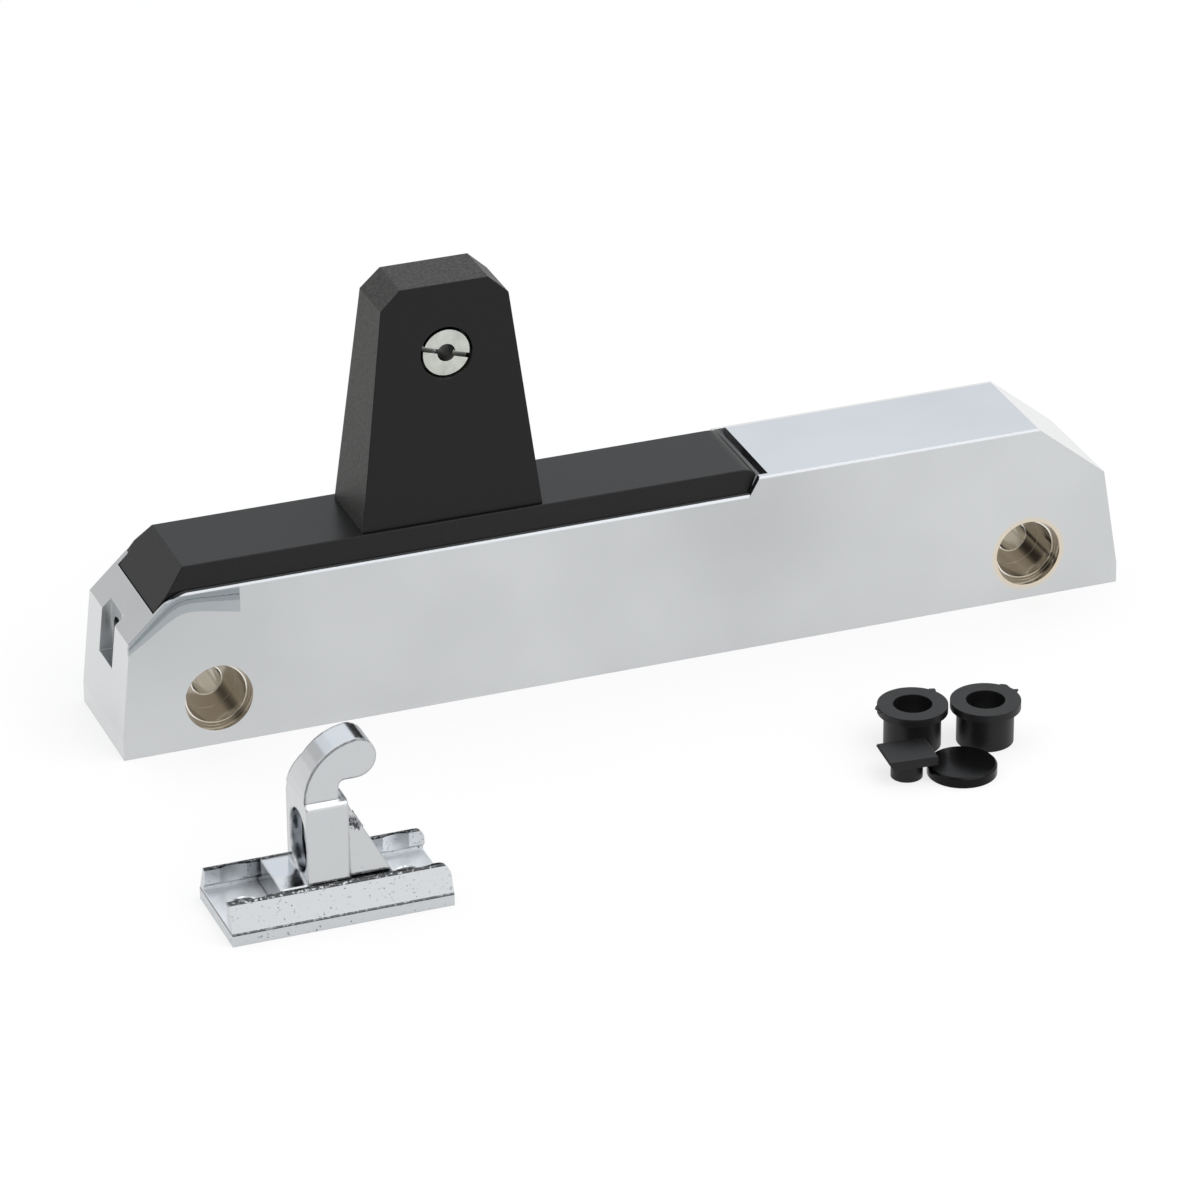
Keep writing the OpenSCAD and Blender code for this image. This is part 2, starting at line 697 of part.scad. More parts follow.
// Outline of the bar in x and z: sloped left end, rounded and slanted right end
module bar_outline() {
  low = pivot_h - skirt_drop - 1;
  polygon(concat([[bar_x0, low], [bar_x0, slot_lip_h], [bar_slope_x, bar_top_h]],
    [for (i = [0 : 4]) let (a = bar_round_a * i / 4)
      [bar_x1 - bar_end_round * (sin(bar_round_a) - sin(a)), bar_top_h - bar_end_round * (1 - cos(a))]],
    [[bar_foot_x, rim_h], [bar_foot_x, low]]));
}

module lever_bar() {
  inner_r = bar_r - bar_t;
  inner_z = bar_flank_z - 0.6;
  inner_y = sqrt(inner_r * inner_r - inner_z * inner_z);
  low = pivot_h - skirt_drop - 1;
  color([0.13, 0.13, 0.14]) place() difference() {
    intersection() {
      bar_solid();
      along_y(0, body_d + 1) bar_outline();
    }
    intersection() {
      union() {
        translate([0, cavity_y, pivot_h]) along_x(bar_x0 + bar_t, bar_foot_x - bar_t)
          polygon([[-inner_y, inner_z], [bar_front + bar_t, bar_ceiling_z], [bar_back - bar_t, bar_ceiling_z],
            [inner_y, inner_z], [inner_y, 0], [inner_r - 0.9, 0], [inner_r - 0.9, -skirt_drop - 2],
            [0.9 - inner_r, -skirt_drop - 2], [0.9 - inner_r, 0], [-inner_y, 0]]);
        rod_x(cavity_y, pivot_h, inner_r, bar_x0 + bar_t, bar_foot_x - bar_t);
      }
      along_y(0, body_d) polygon([[bar_x0 + bar_t, low - 9], [bar_x0 + bar_t, slot_lip_h - bar_t],
        [bar_x0 + bar_end_wall + (bar_top_h - slot_lip_h) / tan(bar_end_slope), bar_top_h - bar_roof_t + eps],
        [bar_x1, bar_top_h - bar_roof_t + eps], [bar_x1, low - 9]]);
    }
    box([bolt_x - head_half - 0.8, cavity_y + arm_window_y, low],
      [bolt_x + head_half + 0.8, cavity_y + bar_flank_y + eps, bolt_top_h + 0.5]);
    box([paddle_x - tongue_w / 2 - tongue_gap, cavity_y - tongue_t / 2 - tongue_gap, pivot_h],
      [paddle_x + tongue_w / 2 + tongue_gap, cavity_y + tongue_t / 2 + tongue_gap, bar_top_h + 1]);
    for (x = bar_screw_x, s = [-1, 1])
      translate([x, cavity_y + s * bar_screw_y, pivot_h])
        cylinder(r = bar_screw_r, h = bar_ceiling_z + bar_roof_t - 0.8);
  }
}

module bar_screws() {
  head_z = pivot_h - core_drop;
  color([0.7, 0.71, 0.72]) place() for (x = bar_screw_x, s = [-1, 1])
    translate([x, cavity_y + s * bar_screw_y, head_z]) {
      cylinder(r = bar_head_r, h = bar_head_h);
      cylinder(r = bar_screw_r, h = bar_ceiling_z + core_drop + bar_roof_t - 1);
    }
}

module paddle() {
  color([0.18, 0.18, 0.18]) place() difference() {
    intersection() {
      along_y(0, body_d) polygon([[paddle_x - paddle_w / 2, bar_top_h],
        [paddle_x - shoulder_w / 2, shoulder_h],
        [paddle_x - paddle_top_w / 2, paddle_top_h], [paddle_x + paddle_top_w / 2, paddle_top_h],
        [paddle_x + shoulder_w / 2, shoulder_h], [paddle_x + paddle_w / 2, bar_top_h]]);
      along_x(paddle_x - paddle_w, paddle_x + paddle_w) polygon([[paddle_front_y, bar_top_h],
        [paddle_front_y + front_lean, paddle_top_h], [paddle_back_y - back_lean, paddle_top_h],
        [paddle_back_y, bar_top_h]]);
    }
    box([paddle_x - tongue_w / 2 - tongue_gap, cavity_y - tongue_t / 2 - tongue_gap, bar_top_h - 1],
      [paddle_x + tongue_w / 2 + tongue_gap, cavity_y + tongue_t / 2 + tongue_gap, tongue_h + tongue_gap]);
    rod_y(paddle_x, bush_h, bush_hole_d / 2, 0, cavity_y);
    rod_y(paddle_x, bush_h, rod_exit_d / 2, cavity_y, body_d);
  }
}

module release_bush() {
  head_y = bush_face_y + bush_sink;
  color([0.8, 0.8, 0.78]) place() difference() {
    union() {
      rod_y(paddle_x, bush_h, bush_head_d / 2, head_y, head_y + bush_head_l);
      rod_y(paddle_x, bush_h, bush_shank_d / 2, head_y + 1, cavity_y + tongue_t / 2);
    }
    rod_y(paddle_x, bush_h, rod_hole_d / 2, 0, body_d);
    translate([paddle_x, head_y, bush_h]) rotate([0, bush_slot_turn, 0])
      box([-bush_head_d, -1, -bush_slot_w / 2], [bush_head_d, bush_slot_depth, bush_slot_w / 2]);
  }
}

// Points of a torsion spring along x: a leg down to the pedestal's ear, the
// coil, and a leg over the core's lug
function spring_path(n) = concat(
  [[0, -spring_r, -9.4], [0, -spring_r, -4.7]],
  [for (i = [0 : n]) let (a = 180 - i * (spring_turns * 360 + 90) / n)
    [spring_l * i / n, spring_r * cos(a), spring_r * sin(a)]],
  [[spring_l, spring_r + 2, spring_r], [spring_l, core_half - 1, spring_r]]);

function unit(v) = v / norm(v);

function ring(p, d, r, sides) = let (u = unit(cross(d, [1, 0, 0])), w = unit(cross(d, u)))
  [for (k = [0 : sides - 1]) p + r * cos(k * 360 / sides) * u + r * sin(k * 360 / sides) * w];

module swept_wire(path, r, sides) {
  n = len(path);
  points = [for (i = [0 : n - 1])
    each ring(path[i], path[min(i + 1, n - 1)] - path[max(i - 1, 0)], r, sides)];
  faces = concat([[for (k = [0 : sides - 1]) k]],
    [for (i = [0 : n - 2], k = [0 : sides - 1])
      [i * sides + k, (i + 1) * sides + k, (i + 1) * sides + (k + 1) % sides, i * sides + (k + 1) % sides]],
    [[for (k = [sides - 1 : -1 : 0]) (n - 1) * sides + k]]);
  polyhedron(points = points, faces = faces, convexity = 10);
}

module return_spring() {
  translate([pedestal_x[0] + pedestal_t / 2 + spring_gap, cavity_y, pivot_h])
    swept_wire(spring_path(75), wire_d / 2, 8);
}

module return_spring_left() {
  color([0.5, 0.51, 0.53]) place() return_spring();
}

module return_spring_right() {
  color([0.5, 0.51, 0.53]) place()
    translate([pedestal_x[0] + pedestal_x[1], 0, 0]) mirror([1, 0, 0]) return_spring();
}

module latch_bolt() {
  color([0.66, 0.67, 0.68]) place() difference() {
    intersection() {
      along_x(bolt_x - head_half, bolt_x + head_half) polygon([[bolt_front_y, bolt_toe_h],
        [bolt_front_y + 1.5, bolt_toe_h], [bolt_back_y, bolt_toe_h + bolt_t * 1.4],
        [bolt_back_y, bolt_top_h], [bolt_front_y, bolt_top_h]]);
      union() {
        box([bolt_x - bolt_w / 2, 0, 0], [bolt_x + bolt_w / 2, body_d, bolt_top_h]);
        box([bolt_x - head_half, 0, shoulder_z], [bolt_x + head_half, body_d, bolt_top_h]);
      }
    }
    box([bolt_x - arm_t / 2 - bolt_gap, 0, bolt_floor_h],
      [bolt_x + arm_t / 2 + bolt_gap, body_d, bolt_ceiling_h]);
    along_x(bolt_x - arm_t / 2 - bolt_gap, bolt_x + arm_t / 2 + bolt_gap)
      polygon([[bolt_front_y - eps, bolt_ceiling_h - eps], [bolt_front_y - eps, bolt_ceiling_h + flare],
        [bolt_front_y + flare, bolt_ceiling_h - eps]]);
  }
}

module guide_plate() {
  y0 = cavity_y - cavity_half + play;
  y1 = cavity_y + cavity_half - play;
  half = web_in + web_t + 1.5;
  color([0.58, 0.59, 0.61]) place() difference() {
    box([bolt_x - half, y0, web_h], [bolt_x + half, y1, guide_top_h]);
    box([bolt_x - web_in, bolt_front_y - bolt_gap, web_h - 1],
      [bolt_x + web_in, bolt_back_y + bolt_gap, guide_top_h + 1]);
    for (s = [-1, 1]) translate([bolt_x + s * web_mid, guide_screw_y, web_h]) {
      translate([0, 0, -1]) cylinder(r = guide_screw_r, h = guide_t + 2);
      translate([0, 0, guide_t - 1.5])
        cylinder(r1 = guide_screw_r, r2 = guide_screw_r + 1.5 + eps, h = 1.5 + eps);
    }
  }
}

module guide_screws() {
  color([0.72, 0.72, 0.7]) place() for (s = [-1, 1])
    translate([bolt_x + s * web_mid, guide_screw_y, web_h]) difference() {
      union() {
        translate([0, 0, -guide_screw_l]) cylinder(r = guide_screw_r, h = guide_screw_l + guide_t);
        translate([0, 0, guide_t - 1.5]) cylinder(r1 = guide_screw_r, r2 = guide_screw_r + 1.5, h = 1.5);
      }
      box([-3, -0.3, guide_t - 0.7], [3, 0.3, guide_t + 1]);
    }
}

module bolt_buffers() {
  y0 = bolt_front_y + 0.6;
  color([0.1, 0.1, 0.1]) place() for (s = [-1, 1])
    box([bolt_x + s * (web_in + head_half) / 2 - 1.6, y0, guide_top_h],
      [bolt_x + s * (web_in + head_half) / 2 + 1.6, y0 + bolt_t - 1.2, guide_top_h + buffer_h]);
}

// Cross-section of the striker base about its middle
module base_section() {
  half = striker_w / 2;
  wall_foot = half - 0.4;
  wall_top = half - wall_lean;
  inner = channel_w / 2;
  difference() {
    polygon([[-half, 0], [-half, plinth_h], [-wall_foot, plinth_h + 0.3], [-wall_top, channel_h - 0.5],
      [-wall_top + 0.5, channel_h], [wall_top - 0.5, channel_h], [wall_top, channel_h - 0.5],
      [wall_foot, plinth_h + 0.3], [half, plinth_h], [half, 0]]);
    polygon([[-inner, channel_h + 1], [-inner, channel_floor_h + undercut_h],
      [-inner - undercut, channel_floor_h + undercut_h - undercut], [-inner - undercut, channel_floor_h],
      [inner + undercut, channel_floor_h], [inner + undercut, channel_floor_h + undercut_h - undercut],
      [inner, channel_floor_h + undercut_h], [inner, channel_h + 1]]);
  }
}

module striker_base() {
  round_r = 3;
  color([0.8, 0.81, 0.83]) place() difference() {
    intersection() {
      translate([0, striker_mid_y, 0]) along_x(striker_x, striker_x + striker_l) base_section();
      along_y(striker_y, striker_y + striker_w) polygon(concat(
        [[striker_x, 0], [striker_x, channel_h]],
        [for (a = [90 : -15 : 0]) [striker_x + striker_l - round_r + round_r * cos(a),
          channel_h - round_r + round_r * sin(a)]],
        [[striker_x + striker_l, 0]]));
    }
    for (x = seat_x) {
      translate([x, striker_mid_y, -1]) cylinder(r = seat_hole_d / 2, h = channel_h);
      translate([x, striker_mid_y, channel_floor_h]) cylinder(r = seat_relief_d / 2, h = channel_h);
      translate([x, striker_mid_y, channel_floor_h - seat_hole_d / 4])
        cylinder(r1 = seat_hole_d / 2, r2 = seat_hole_d, h = seat_hole_d / 2);
    }
  }
}

// Outline of the hook in x and z, flush with the block's outer face
module hook_outline() {
  a0 = acos((block_x - arc_x) / hook_r);
  a1 = acos((nose_x - arc_x) / hook_r);
  polygon(concat(
    [[block_x, block_h - 2]],
    [for (i = [0 : 8]) let (a = a0 + (a1 - a0) * i / 8) [arc_x + hook_r * cos(a), arc_z + hook_r * sin(a)]],
    [for (a = [75 : -15 : -90]) [nose_x + nose_r * cos(a), nose_z + nose_r * sin(a)]],
    [for (a = [90 : 30 : 180])
      [block_x + stem_l + throat_r + throat_r * cos(a), throat_z - throat_r + throat_r * sin(a)]],
    [[block_x + stem_l, block_h - 2]]));
}

// Cross-section of the block, with a rounded ledge under the hook
module block_section() {
  polygon([[block_y0, pad_h - 5], [block_y0, block_h], [block_y0 + ledge_w * 0.3, block_h + ledge_h * 0.7],
    [block_y0 + ledge_w, block_top], [block_y1 - 2.4, block_top], [block_y1 - 0.7, block_h + ledge_h * 0.5],
    [block_y1, block_h - 1], [block_y1, pad_h - 5]]);
}

module striker_hook() {
  x0 = striker_x + pad_x;
  x1 = gusset_x + gusset_l;
  y = striker_mid_y;
  flange = slider_half + undercut;
  color([0.8, 0.81, 0.83]) place() difference() {
    union() {
      translate([0, y, 0]) along_x(x0, x1) polygon([[-flange, slider_h0],
        [-flange, slider_h0 + undercut_h - undercut - slide_gap],
        [-slider_half, slider_h0 + undercut_h - slide_gap * 2],
        [slider_half, slider_h0 + undercut_h - slide_gap * 2],
        [flange, slider_h0 + undercut_h - undercut - slide_gap], [flange, slider_h0]]);
      box([x0, block_y0, slider_h0 + 1], [x1, block_y1, pad_h - 4]);
      along_x(x0, block_x + eps) polygon([[block_y0, pad_h - 5], [block_y0, pad_h - pad_bevel_h],
        [block_y0 + pad_bevel_w, pad_h], [block_y1, pad_h], [block_y1, pad_h - 5]]);
      along_x(block_x, gusset_x) block_section();
      along_y(block_y - gusset_w / 2, block_y + gusset_w / 2) polygon([[gusset_x - eps, pad_h - 5],
        [gusset_x - eps, block_h], [x1, pad_h - 3.5], [x1, pad_h - 5]]);
      intersection() {
        along_y(hook_y0, block_y1) hook_outline();
        along_x(block_x - 1, nose_x + nose_r + 1) polygon([[hook_y0, block_h - 3], [hook_y0, hook_h + 1],
          [hook_y0 + hook_t, hook_h + 1], [hook_y0 + hook_t, nose_z - 1], [block_y1 - 0.7, block_top + 1],
          [block_y1 - 0.7, block_h - 3]]);
      }
    }
    for (s = [-1, 1]) rod_x(recess_y, recess_z + s * (recess_h - recess_w) / 2, recess_w / 2,
      block_x - 1, block_x + recess_depth);
    box([block_x - 1, recess_y - recess_w / 2, recess_z - (recess_h - recess_w) / 2],
      [block_x + recess_depth, recess_y + recess_w / 2, recess_z + (recess_h - recess_w) / 2]);
    rod_x(recess_y, clamp_z, clamp_d / 2, block_x, x1 + 1);
    box([nut_x, recess_y - nut_w / 2, clamp_z - nut_w / 2],
      [x1 + 1, recess_y + nut_w / 2, clamp_z + nut_w / 2]);
  }
}

module clamp_screw() {
  head_x = block_x + recess_depth - clamp_head_h;
  color([0.72, 0.75, 0.78]) place() difference() {
    union() {
      rod_x(recess_y, clamp_z, clamp_head_d / 2, head_x, head_x + clamp_head_h);
      rod_x(recess_y, clamp_z, clamp_d / 2, head_x + 1, nut_x + nut_t + 1);
    }
    translate([head_x - 1, recess_y, clamp_z]) rotate([0, 90, 0]) cylinder(r = clamp_d / 2, h = 3.5, $fn = 6);
  }
}

module clamp_nut() {
  color([0.6, 0.6, 0.6]) place() difference() {
    box([nut_x, recess_y - nut_w / 2, clamp_z - nut_w / 2],
      [nut_x + nut_t, recess_y + nut_w / 2, clamp_z + nut_w / 2]);
    rod_x(recess_y, clamp_z, clamp_d / 2, nut_x - 1, nut_x + nut_t + 1);
  }
}

module flanged_bush(at) {
  color([0.13, 0.13, 0.13]) place() translate([at[0], at[1], 0]) difference() {
    union() {
      cylinder(r = barrel_d / 2, h = flanged_h);
      translate([0, 0, flanged_h - flange_t]) cylinder(r = bush_r, h = flange_t);
    }
    translate([0, 0, -1]) cylinder(r = flanged_bore_d / 2, h = flanged_h + 2);
  }
}

module flanged_bush_left() {
  flanged_bush(bush_left_at);
}

module flanged_bush_right() {
  flanged_bush(bush_right_at);
}

module cap_disc() {
  r = mouth_d / 2 - cap_play;
  color([0.12, 0.12, 0.12]) place() translate([cap_at[0], cap_at[1], 0]) {
    cylinder(r = r, h = cap_t - 0.5);
    translate([0, 0, cap_t - 0.5]) cylinder(r1 = r, r2 = r - 0.5, h = 0.5);
  }
}

// The plug's stub is off the middle of its head, as the bore is in the pocket,
// and a slanted lip follows the slope above the pocket
module lock_plug() {
  top_h = stub_h + plug_t;
  color([0.12, 0.12, 0.12]) place() translate([plug_at[0], plug_at[1], 0]) rotate([0, 0, plug_turn]) {
    cylinder(r = (lock_bore_d - stub_play) / 2, h = stub_h + 1);
    along_y(-plug_w / 2, plug_w / 2) polygon([[plug_foot - plug_l, stub_h],
      [plug_foot - plug_l - lip_w, top_h - 0.5], [plug_foot - plug_l - lip_w + 0.4, top_h],
      [plug_foot - 0.4, top_h], [plug_foot, top_h - 0.4], [plug_foot, stub_h]]);
  }
}

housing();
pivot_shaft();
shaft_clips();
lever_core();
pivot_bushes();
lever_bar();
bar_screws();
paddle();
release_bush();
return_spring_left();
return_spring_right();
latch_bolt();
guide_plate();
guide_screws();
bolt_buffers();
striker_base();
striker_hook();
clamp_screw();
clamp_nut();
flanged_bush_left();
flanged_bush_right();
cap_disc();
lock_plug();
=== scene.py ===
import bpy, math, random
from mathutils import Matrix, Vector


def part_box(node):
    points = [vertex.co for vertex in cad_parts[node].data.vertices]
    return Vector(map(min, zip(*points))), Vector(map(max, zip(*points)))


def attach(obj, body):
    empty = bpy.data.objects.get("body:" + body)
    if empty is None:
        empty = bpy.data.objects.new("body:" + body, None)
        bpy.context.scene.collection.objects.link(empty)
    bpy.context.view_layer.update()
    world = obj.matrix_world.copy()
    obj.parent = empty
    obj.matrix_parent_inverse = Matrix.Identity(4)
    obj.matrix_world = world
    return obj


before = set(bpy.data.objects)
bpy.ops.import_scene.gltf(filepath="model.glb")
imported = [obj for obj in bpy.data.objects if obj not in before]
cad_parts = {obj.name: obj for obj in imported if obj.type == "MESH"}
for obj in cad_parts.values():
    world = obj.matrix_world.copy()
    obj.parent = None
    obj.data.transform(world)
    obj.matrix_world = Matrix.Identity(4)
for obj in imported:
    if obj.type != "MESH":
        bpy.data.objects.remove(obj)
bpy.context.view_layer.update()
print("frame loaded,", len(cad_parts), "nodes")

# Sizes of pieces and patterns are in millimetres, those of the studio in metres.
# The housing lies along x, its front faces -y and z is up.
mm = 0.001
floorHeight = -14 * mm

# Rays spent on rounding the sharp edges, because real ones are soft and catch the
# light, and on finding inner corners, where dirt stays
edgeSamples = 6
cornerSamples = 8


def colour(hexText):
    # sRGB hex to the linear values that the shaders take
    parts = [int(hexText[i:i + 2], 16) / 255 for i in (1, 3, 5)]
    return tuple(c / 12.92 if c <= 0.04045 else ((c + 0.055) / 1.055) ** 2.4 for c in parts) + (1,)


def setStops(elements, stops):
    # each stop is a place and a tone, which is a hex colour or a grey level
    while len(elements) < len(stops):
        elements.new(0.5)
    for element, (place, tone) in zip(elements, stops):
        element.position = place
        element.color = colour(tone) if isinstance(tone, str) else (tone, tone, tone, 1)


def addNode(tree, kind, settings, inputs):
    # settings go on the node, and a ramp's stops are one of them. Inputs go on its
    # sockets, by name or number: a socket is linked, and any other value is set.
    node = tree.nodes.new(kind)
    for name, value in settings.items():
        if name == "stops":
            setStops(node.color_ramp.elements, value)
        else:
            setattr(node, name, value)
    for name, value in inputs.items():
        if isinstance(value, bpy.types.NodeSocket):
            tree.links.new(value, node.inputs[name])
        else:
            node.inputs[name].default_value = value
    return node.outputs


def paintOver(tree, tone, layers):
    # each layer is a mask and the tone that it lays over all before it
    for mask, paint in layers:
        over = colour(paint) if isinstance(paint, str) else paint
        tone = addNode(tree, "ShaderNodeMix", {"data_type": "RGBA"}, {0: mask, 6: tone, 7: over})[2]
    return tone


def allOf(tree, masks):
    # a mask that shows only where all of these do
    shared = masks[0]
    for mask in masks[1:]:
        shared = addNode(tree, "ShaderNodeMath", {"operation": "MULTIPLY"}, {0: shared, 1: mask})[0]
    return shared


def newMaterial(name):
    made = bpy.data.materials.new(name)
    made.use_nodes = True
    made.node_tree.nodes.clear()
    return made, made.node_tree


def finishMaterial(tree, tone, settings):
    # one principled shader with a colour, and with the rest of its sockets as given
    shader = addNode(tree, "ShaderNodeBsdfPrincipled", {}, {"Base Color": tone, **settings})[0]
    addNode(tree, "ShaderNodeOutputMaterial", {}, {"Surface": shader})


# Satin chrome on die-cast zinc: the long face was brushed, so what stands in
# front shows only as a soft smudge. The bores were masked in the bath and kept
# the brown of the nickel under the chrome.
housingLook = {
    "roughness": 0.12, "edgeRadius": 0.2,
    "cloudSize": 40, "cloudStops": [(0.35, "#CBCDCF"), (0.6, "#D0D2D3")],
    "faceRoughness": 0.44, "faceTurn": (-0.99, -0.97),
    "rimTone": "#AEB1B4", "rimRoughness": 0.45, "rimTurn": (0.3, 0.45),
    "boreTone": "#A9A194", "boreRoughness": 0.14, "boreAcross": 19.7, "boreApart": 244,
    # the tones of the bores' rings and small hole below are a painted highlight and painted light
    "ringHighlightTone": "#ECE8E0", "rings": (17.76, 9.0), "ringWidth": 0.18,
    "holeLightTone": "#CFCAC0", "holeAcross": 8.56,
    "haloTone": "#E0CFB4", "haloWidth": 2.2, "haloShare": 0.75,
    "frontPlane": -35.9, "backPlane": -0.6,
}

# Painted reflection: this band is colour that stands in for a reflection in the chrome.
# The grey band with a thin dark line in it, which the photo shows under the left
# end of the rim. It hangs from the rim and from the sloped end, whichever is
# nearer, and widens to the right. Its stops run from there to its lower edge.
reflectionBandLook = {
    "ends": (-149, -114.8), "widths": (1.6, 8.3), "rimHeight": 33.4,
    "endCorner": (-147, 20.4), "endSlope": 43.5, "endRound": 5,
    "reflectionNoiseSize": 0.9, "reflectionNoiseShare": 0.12,
    "stops": [(0.16, "#B4B9BC"), (0.2, "#9AA1A5"), (0.385, "#9AA1A5"), (0.4, "#2E3133"),
              (0.42, "#9AA1A5"), (0.6, "#9AA1A5"), (0.64, "#B4B9BC"), (1.0, "#B4B9BC")],
}


def boreNickelAndPaintedLight(tree, look, reach):
    # the bright rings on the steps are painted highlights, and the small hole is
    # painted light, for the light that comes in from behind through it
    layers = []
    for ring in look["rings"]:
        onRingHighlight = addNode(tree, "ShaderNodeMath", {"operation": "COMPARE"},
                         {0: reach, 1: ring / 2 * mm, 2: look["ringWidth"] * mm})[0]
        layers.append((onRingHighlight, look["ringHighlightTone"]))
    inHole = addNode(tree, "ShaderNodeMath", {"operation": "LESS_THAN"},
                     {0: reach, 1: look["holeAcross"] / 2 * mm})[0]
    layers.append((inHole, look["holeLightTone"]))
    return paintOver(tree, colour(look["boreTone"]), layers)


# a painted reflection in the chrome, under the left end of the rim
def reflectionBandUnderRim(tree, look, place, axes):
    cornerX, cornerZ = look["endCorner"]
    slope = math.radians(look["endSlope"])
    left, right = (end * mm for end in look["ends"])
    narrow, wide = (width * mm for width in look["widths"])
    fromRim = addNode(tree, "ShaderNodeMath", {"operation": "SUBTRACT"},
                      {0: look["rimHeight"] * mm, 1: axes[2]})[0]
    start = addNode(tree, "ShaderNodeVectorMath", {"operation": "SUBTRACT"},
                    {0: (cornerX * mm, 0, cornerZ * mm), 1: place})[0]
    fromEnd = addNode(tree, "ShaderNodeVectorMath", {"operation": "DOT_PRODUCT"},
                      {0: start, 1: (-math.sin(slope), 0, math.cos(slope))})["Value"]
    under = addNode(tree, "ShaderNodeMath", {"operation": "SMOOTH_MIN"},
                    {0: fromRim, 1: fromEnd, 2: look["endRound"] * mm})[0]
    width = addNode(tree, "ShaderNodeMapRange", {}, {0: axes[0], 1: left, 2: right, 3: narrow, 4: wide})[0]
    share = addNode(tree, "ShaderNodeMath", {"operation": "DIVIDE"}, {0: under, 1: width})[0]
    reflectionNoise = addNode(tree, "ShaderNodeTexNoise", {},
                   {"Vector": place, "Scale": 1 / (look["reflectionNoiseSize"] * mm), "Detail": 4})[0]
    noisyReflectionShare = addNode(tree, "ShaderNodeMath", {"operation": "MULTIPLY_ADD"},
                     {0: reflectionNoise, 1: look["reflectionNoiseShare"], 2: share})[0]
    tone = addNode(tree, "ShaderNodeValToRGB", {"stops": look["stops"]}, {0: noisyReflectionShare})[0]
    inBand = addNode(tree, "ShaderNodeMath", {"operation": "LESS_THAN"}, {0: share, 1: 1.0})[0]
    leftOf = addNode(tree, "ShaderNodeMath", {"operation": "LESS_THAN"}, {0: axes[0], 1: right})[0]
    return allOf(tree, [inBand, leftOf]), tone


def satinChrome(look, band):
    made, tree = newMaterial("satinChrome")
    place = addNode(tree, "ShaderNodeTexCoord", {}, {})["Object"]
    axes = addNode(tree, "ShaderNodeSeparateXYZ", {}, {0: place})
    facing = addNode(tree, "ShaderNodeNewGeometry", {}, {})["True Normal"]
    ways = addNode(tree, "ShaderNodeSeparateXYZ", {}, {0: facing})
    clouds = addNode(tree, "ShaderNodeTexNoise", {},
                     {"Vector": place, "Scale": 1 / (look["cloudSize"] * mm), "Detail": 2})[0]
    tone = addNode(tree, "ShaderNodeValToRGB", {"stops": look["cloudStops"]}, {0: clouds})[0]

    # how far a point lies from the axis of the nearer fixing hole
    side = addNode(tree, "ShaderNodeMath", {"operation": "ABSOLUTE"}, {0: axes[0]})[0]
    across = addNode(tree, "ShaderNodeMath", {"operation": "SUBTRACT"},
                     {0: side, 1: look["boreApart"] / 2 * mm})[0]
    flat = addNode(tree, "ShaderNodeCombineXYZ", {}, {0: across, 1: axes[2]})[0]
    reach = addNode(tree, "ShaderNodeVectorMath", {"operation": "LENGTH"}, {0: flat})["Value"]
    edge = look["boreAcross"] / 2 * mm
    inRing = addNode(tree, "ShaderNodeMath", {"operation": "LESS_THAN"}, {0: reach, 1: edge})[0]
    inside = addNode(tree, "ShaderNodeMath", {"operation": "LESS_THAN"},
                     {0: axes[1], 1: look["backPlane"] * mm})[0]
    inBore = allOf(tree, [inRing, inside])
    atFront = addNode(tree, "ShaderNodeMath", {"operation": "LESS_THAN"},
                      {0: axes[1], 1: look["frontPlane"] * mm})[0]

    # a stain round the right hole, where the bath crept under the mask
    halo = addNode(tree, "ShaderNodeMapRange", {"interpolation_type": "SMOOTHSTEP"},
                   {0: reach, 1: edge + look["haloWidth"] * mm, 2: edge, 4: look["haloShare"]})[0]
    onRight = addNode(tree, "ShaderNodeMath", {"operation": "GREATER_THAN"}, {0: axes[0], 1: 0.0})[0]
    reflectionMask, reflectionTone = reflectionBandUnderRim(tree, band, place, axes)

    # the broken edge along the rim and the deck is thinly plated and greyer
    least, full = look["rimTurn"]
    outward = addNode(tree, "ShaderNodeMapRange", {}, {0: ways[1], 1: -least, 2: -full})[0]
    upward = addNode(tree, "ShaderNodeMapRange", {}, {0: ways[2], 1: least, 2: full})[0]
    onRim = allOf(tree, [outward, upward])
    tone = paintOver(tree, tone, [
        (allOf(tree, [halo, onRight, atFront]), look["haloTone"]),
        (allOf(tree, [reflectionMask, atFront]), reflectionTone),
        (inBore, boreNickelAndPaintedLight(tree, look, reach)),
        (onRim, look["rimTone"]),
    ])

    # the long front face is satin, the edges and ends were buffed
    ahead, aside = look["faceTurn"]
    dull = addNode(tree, "ShaderNodeMapRange", {},
                   {0: ways[1], 1: ahead, 2: aside, 3: look["faceRoughness"], 4: look["roughness"]})[0]
    for mask, roughness in ((inBore, look["boreRoughness"]), (onRim, look["rimRoughness"])):
        dull = addNode(tree, "ShaderNodeMix", {}, {0: mask, 2: dull, 3: roughness})[0]
    soft = addNode(tree, "ShaderNodeBevel", {"samples": edgeSamples}, {"Radius": look["edgeRadius"] * mm})[0]
    finishMaterial(tree, tone, {"Metallic": 1.0, "Roughness": dull, "Normal": soft})
    return made
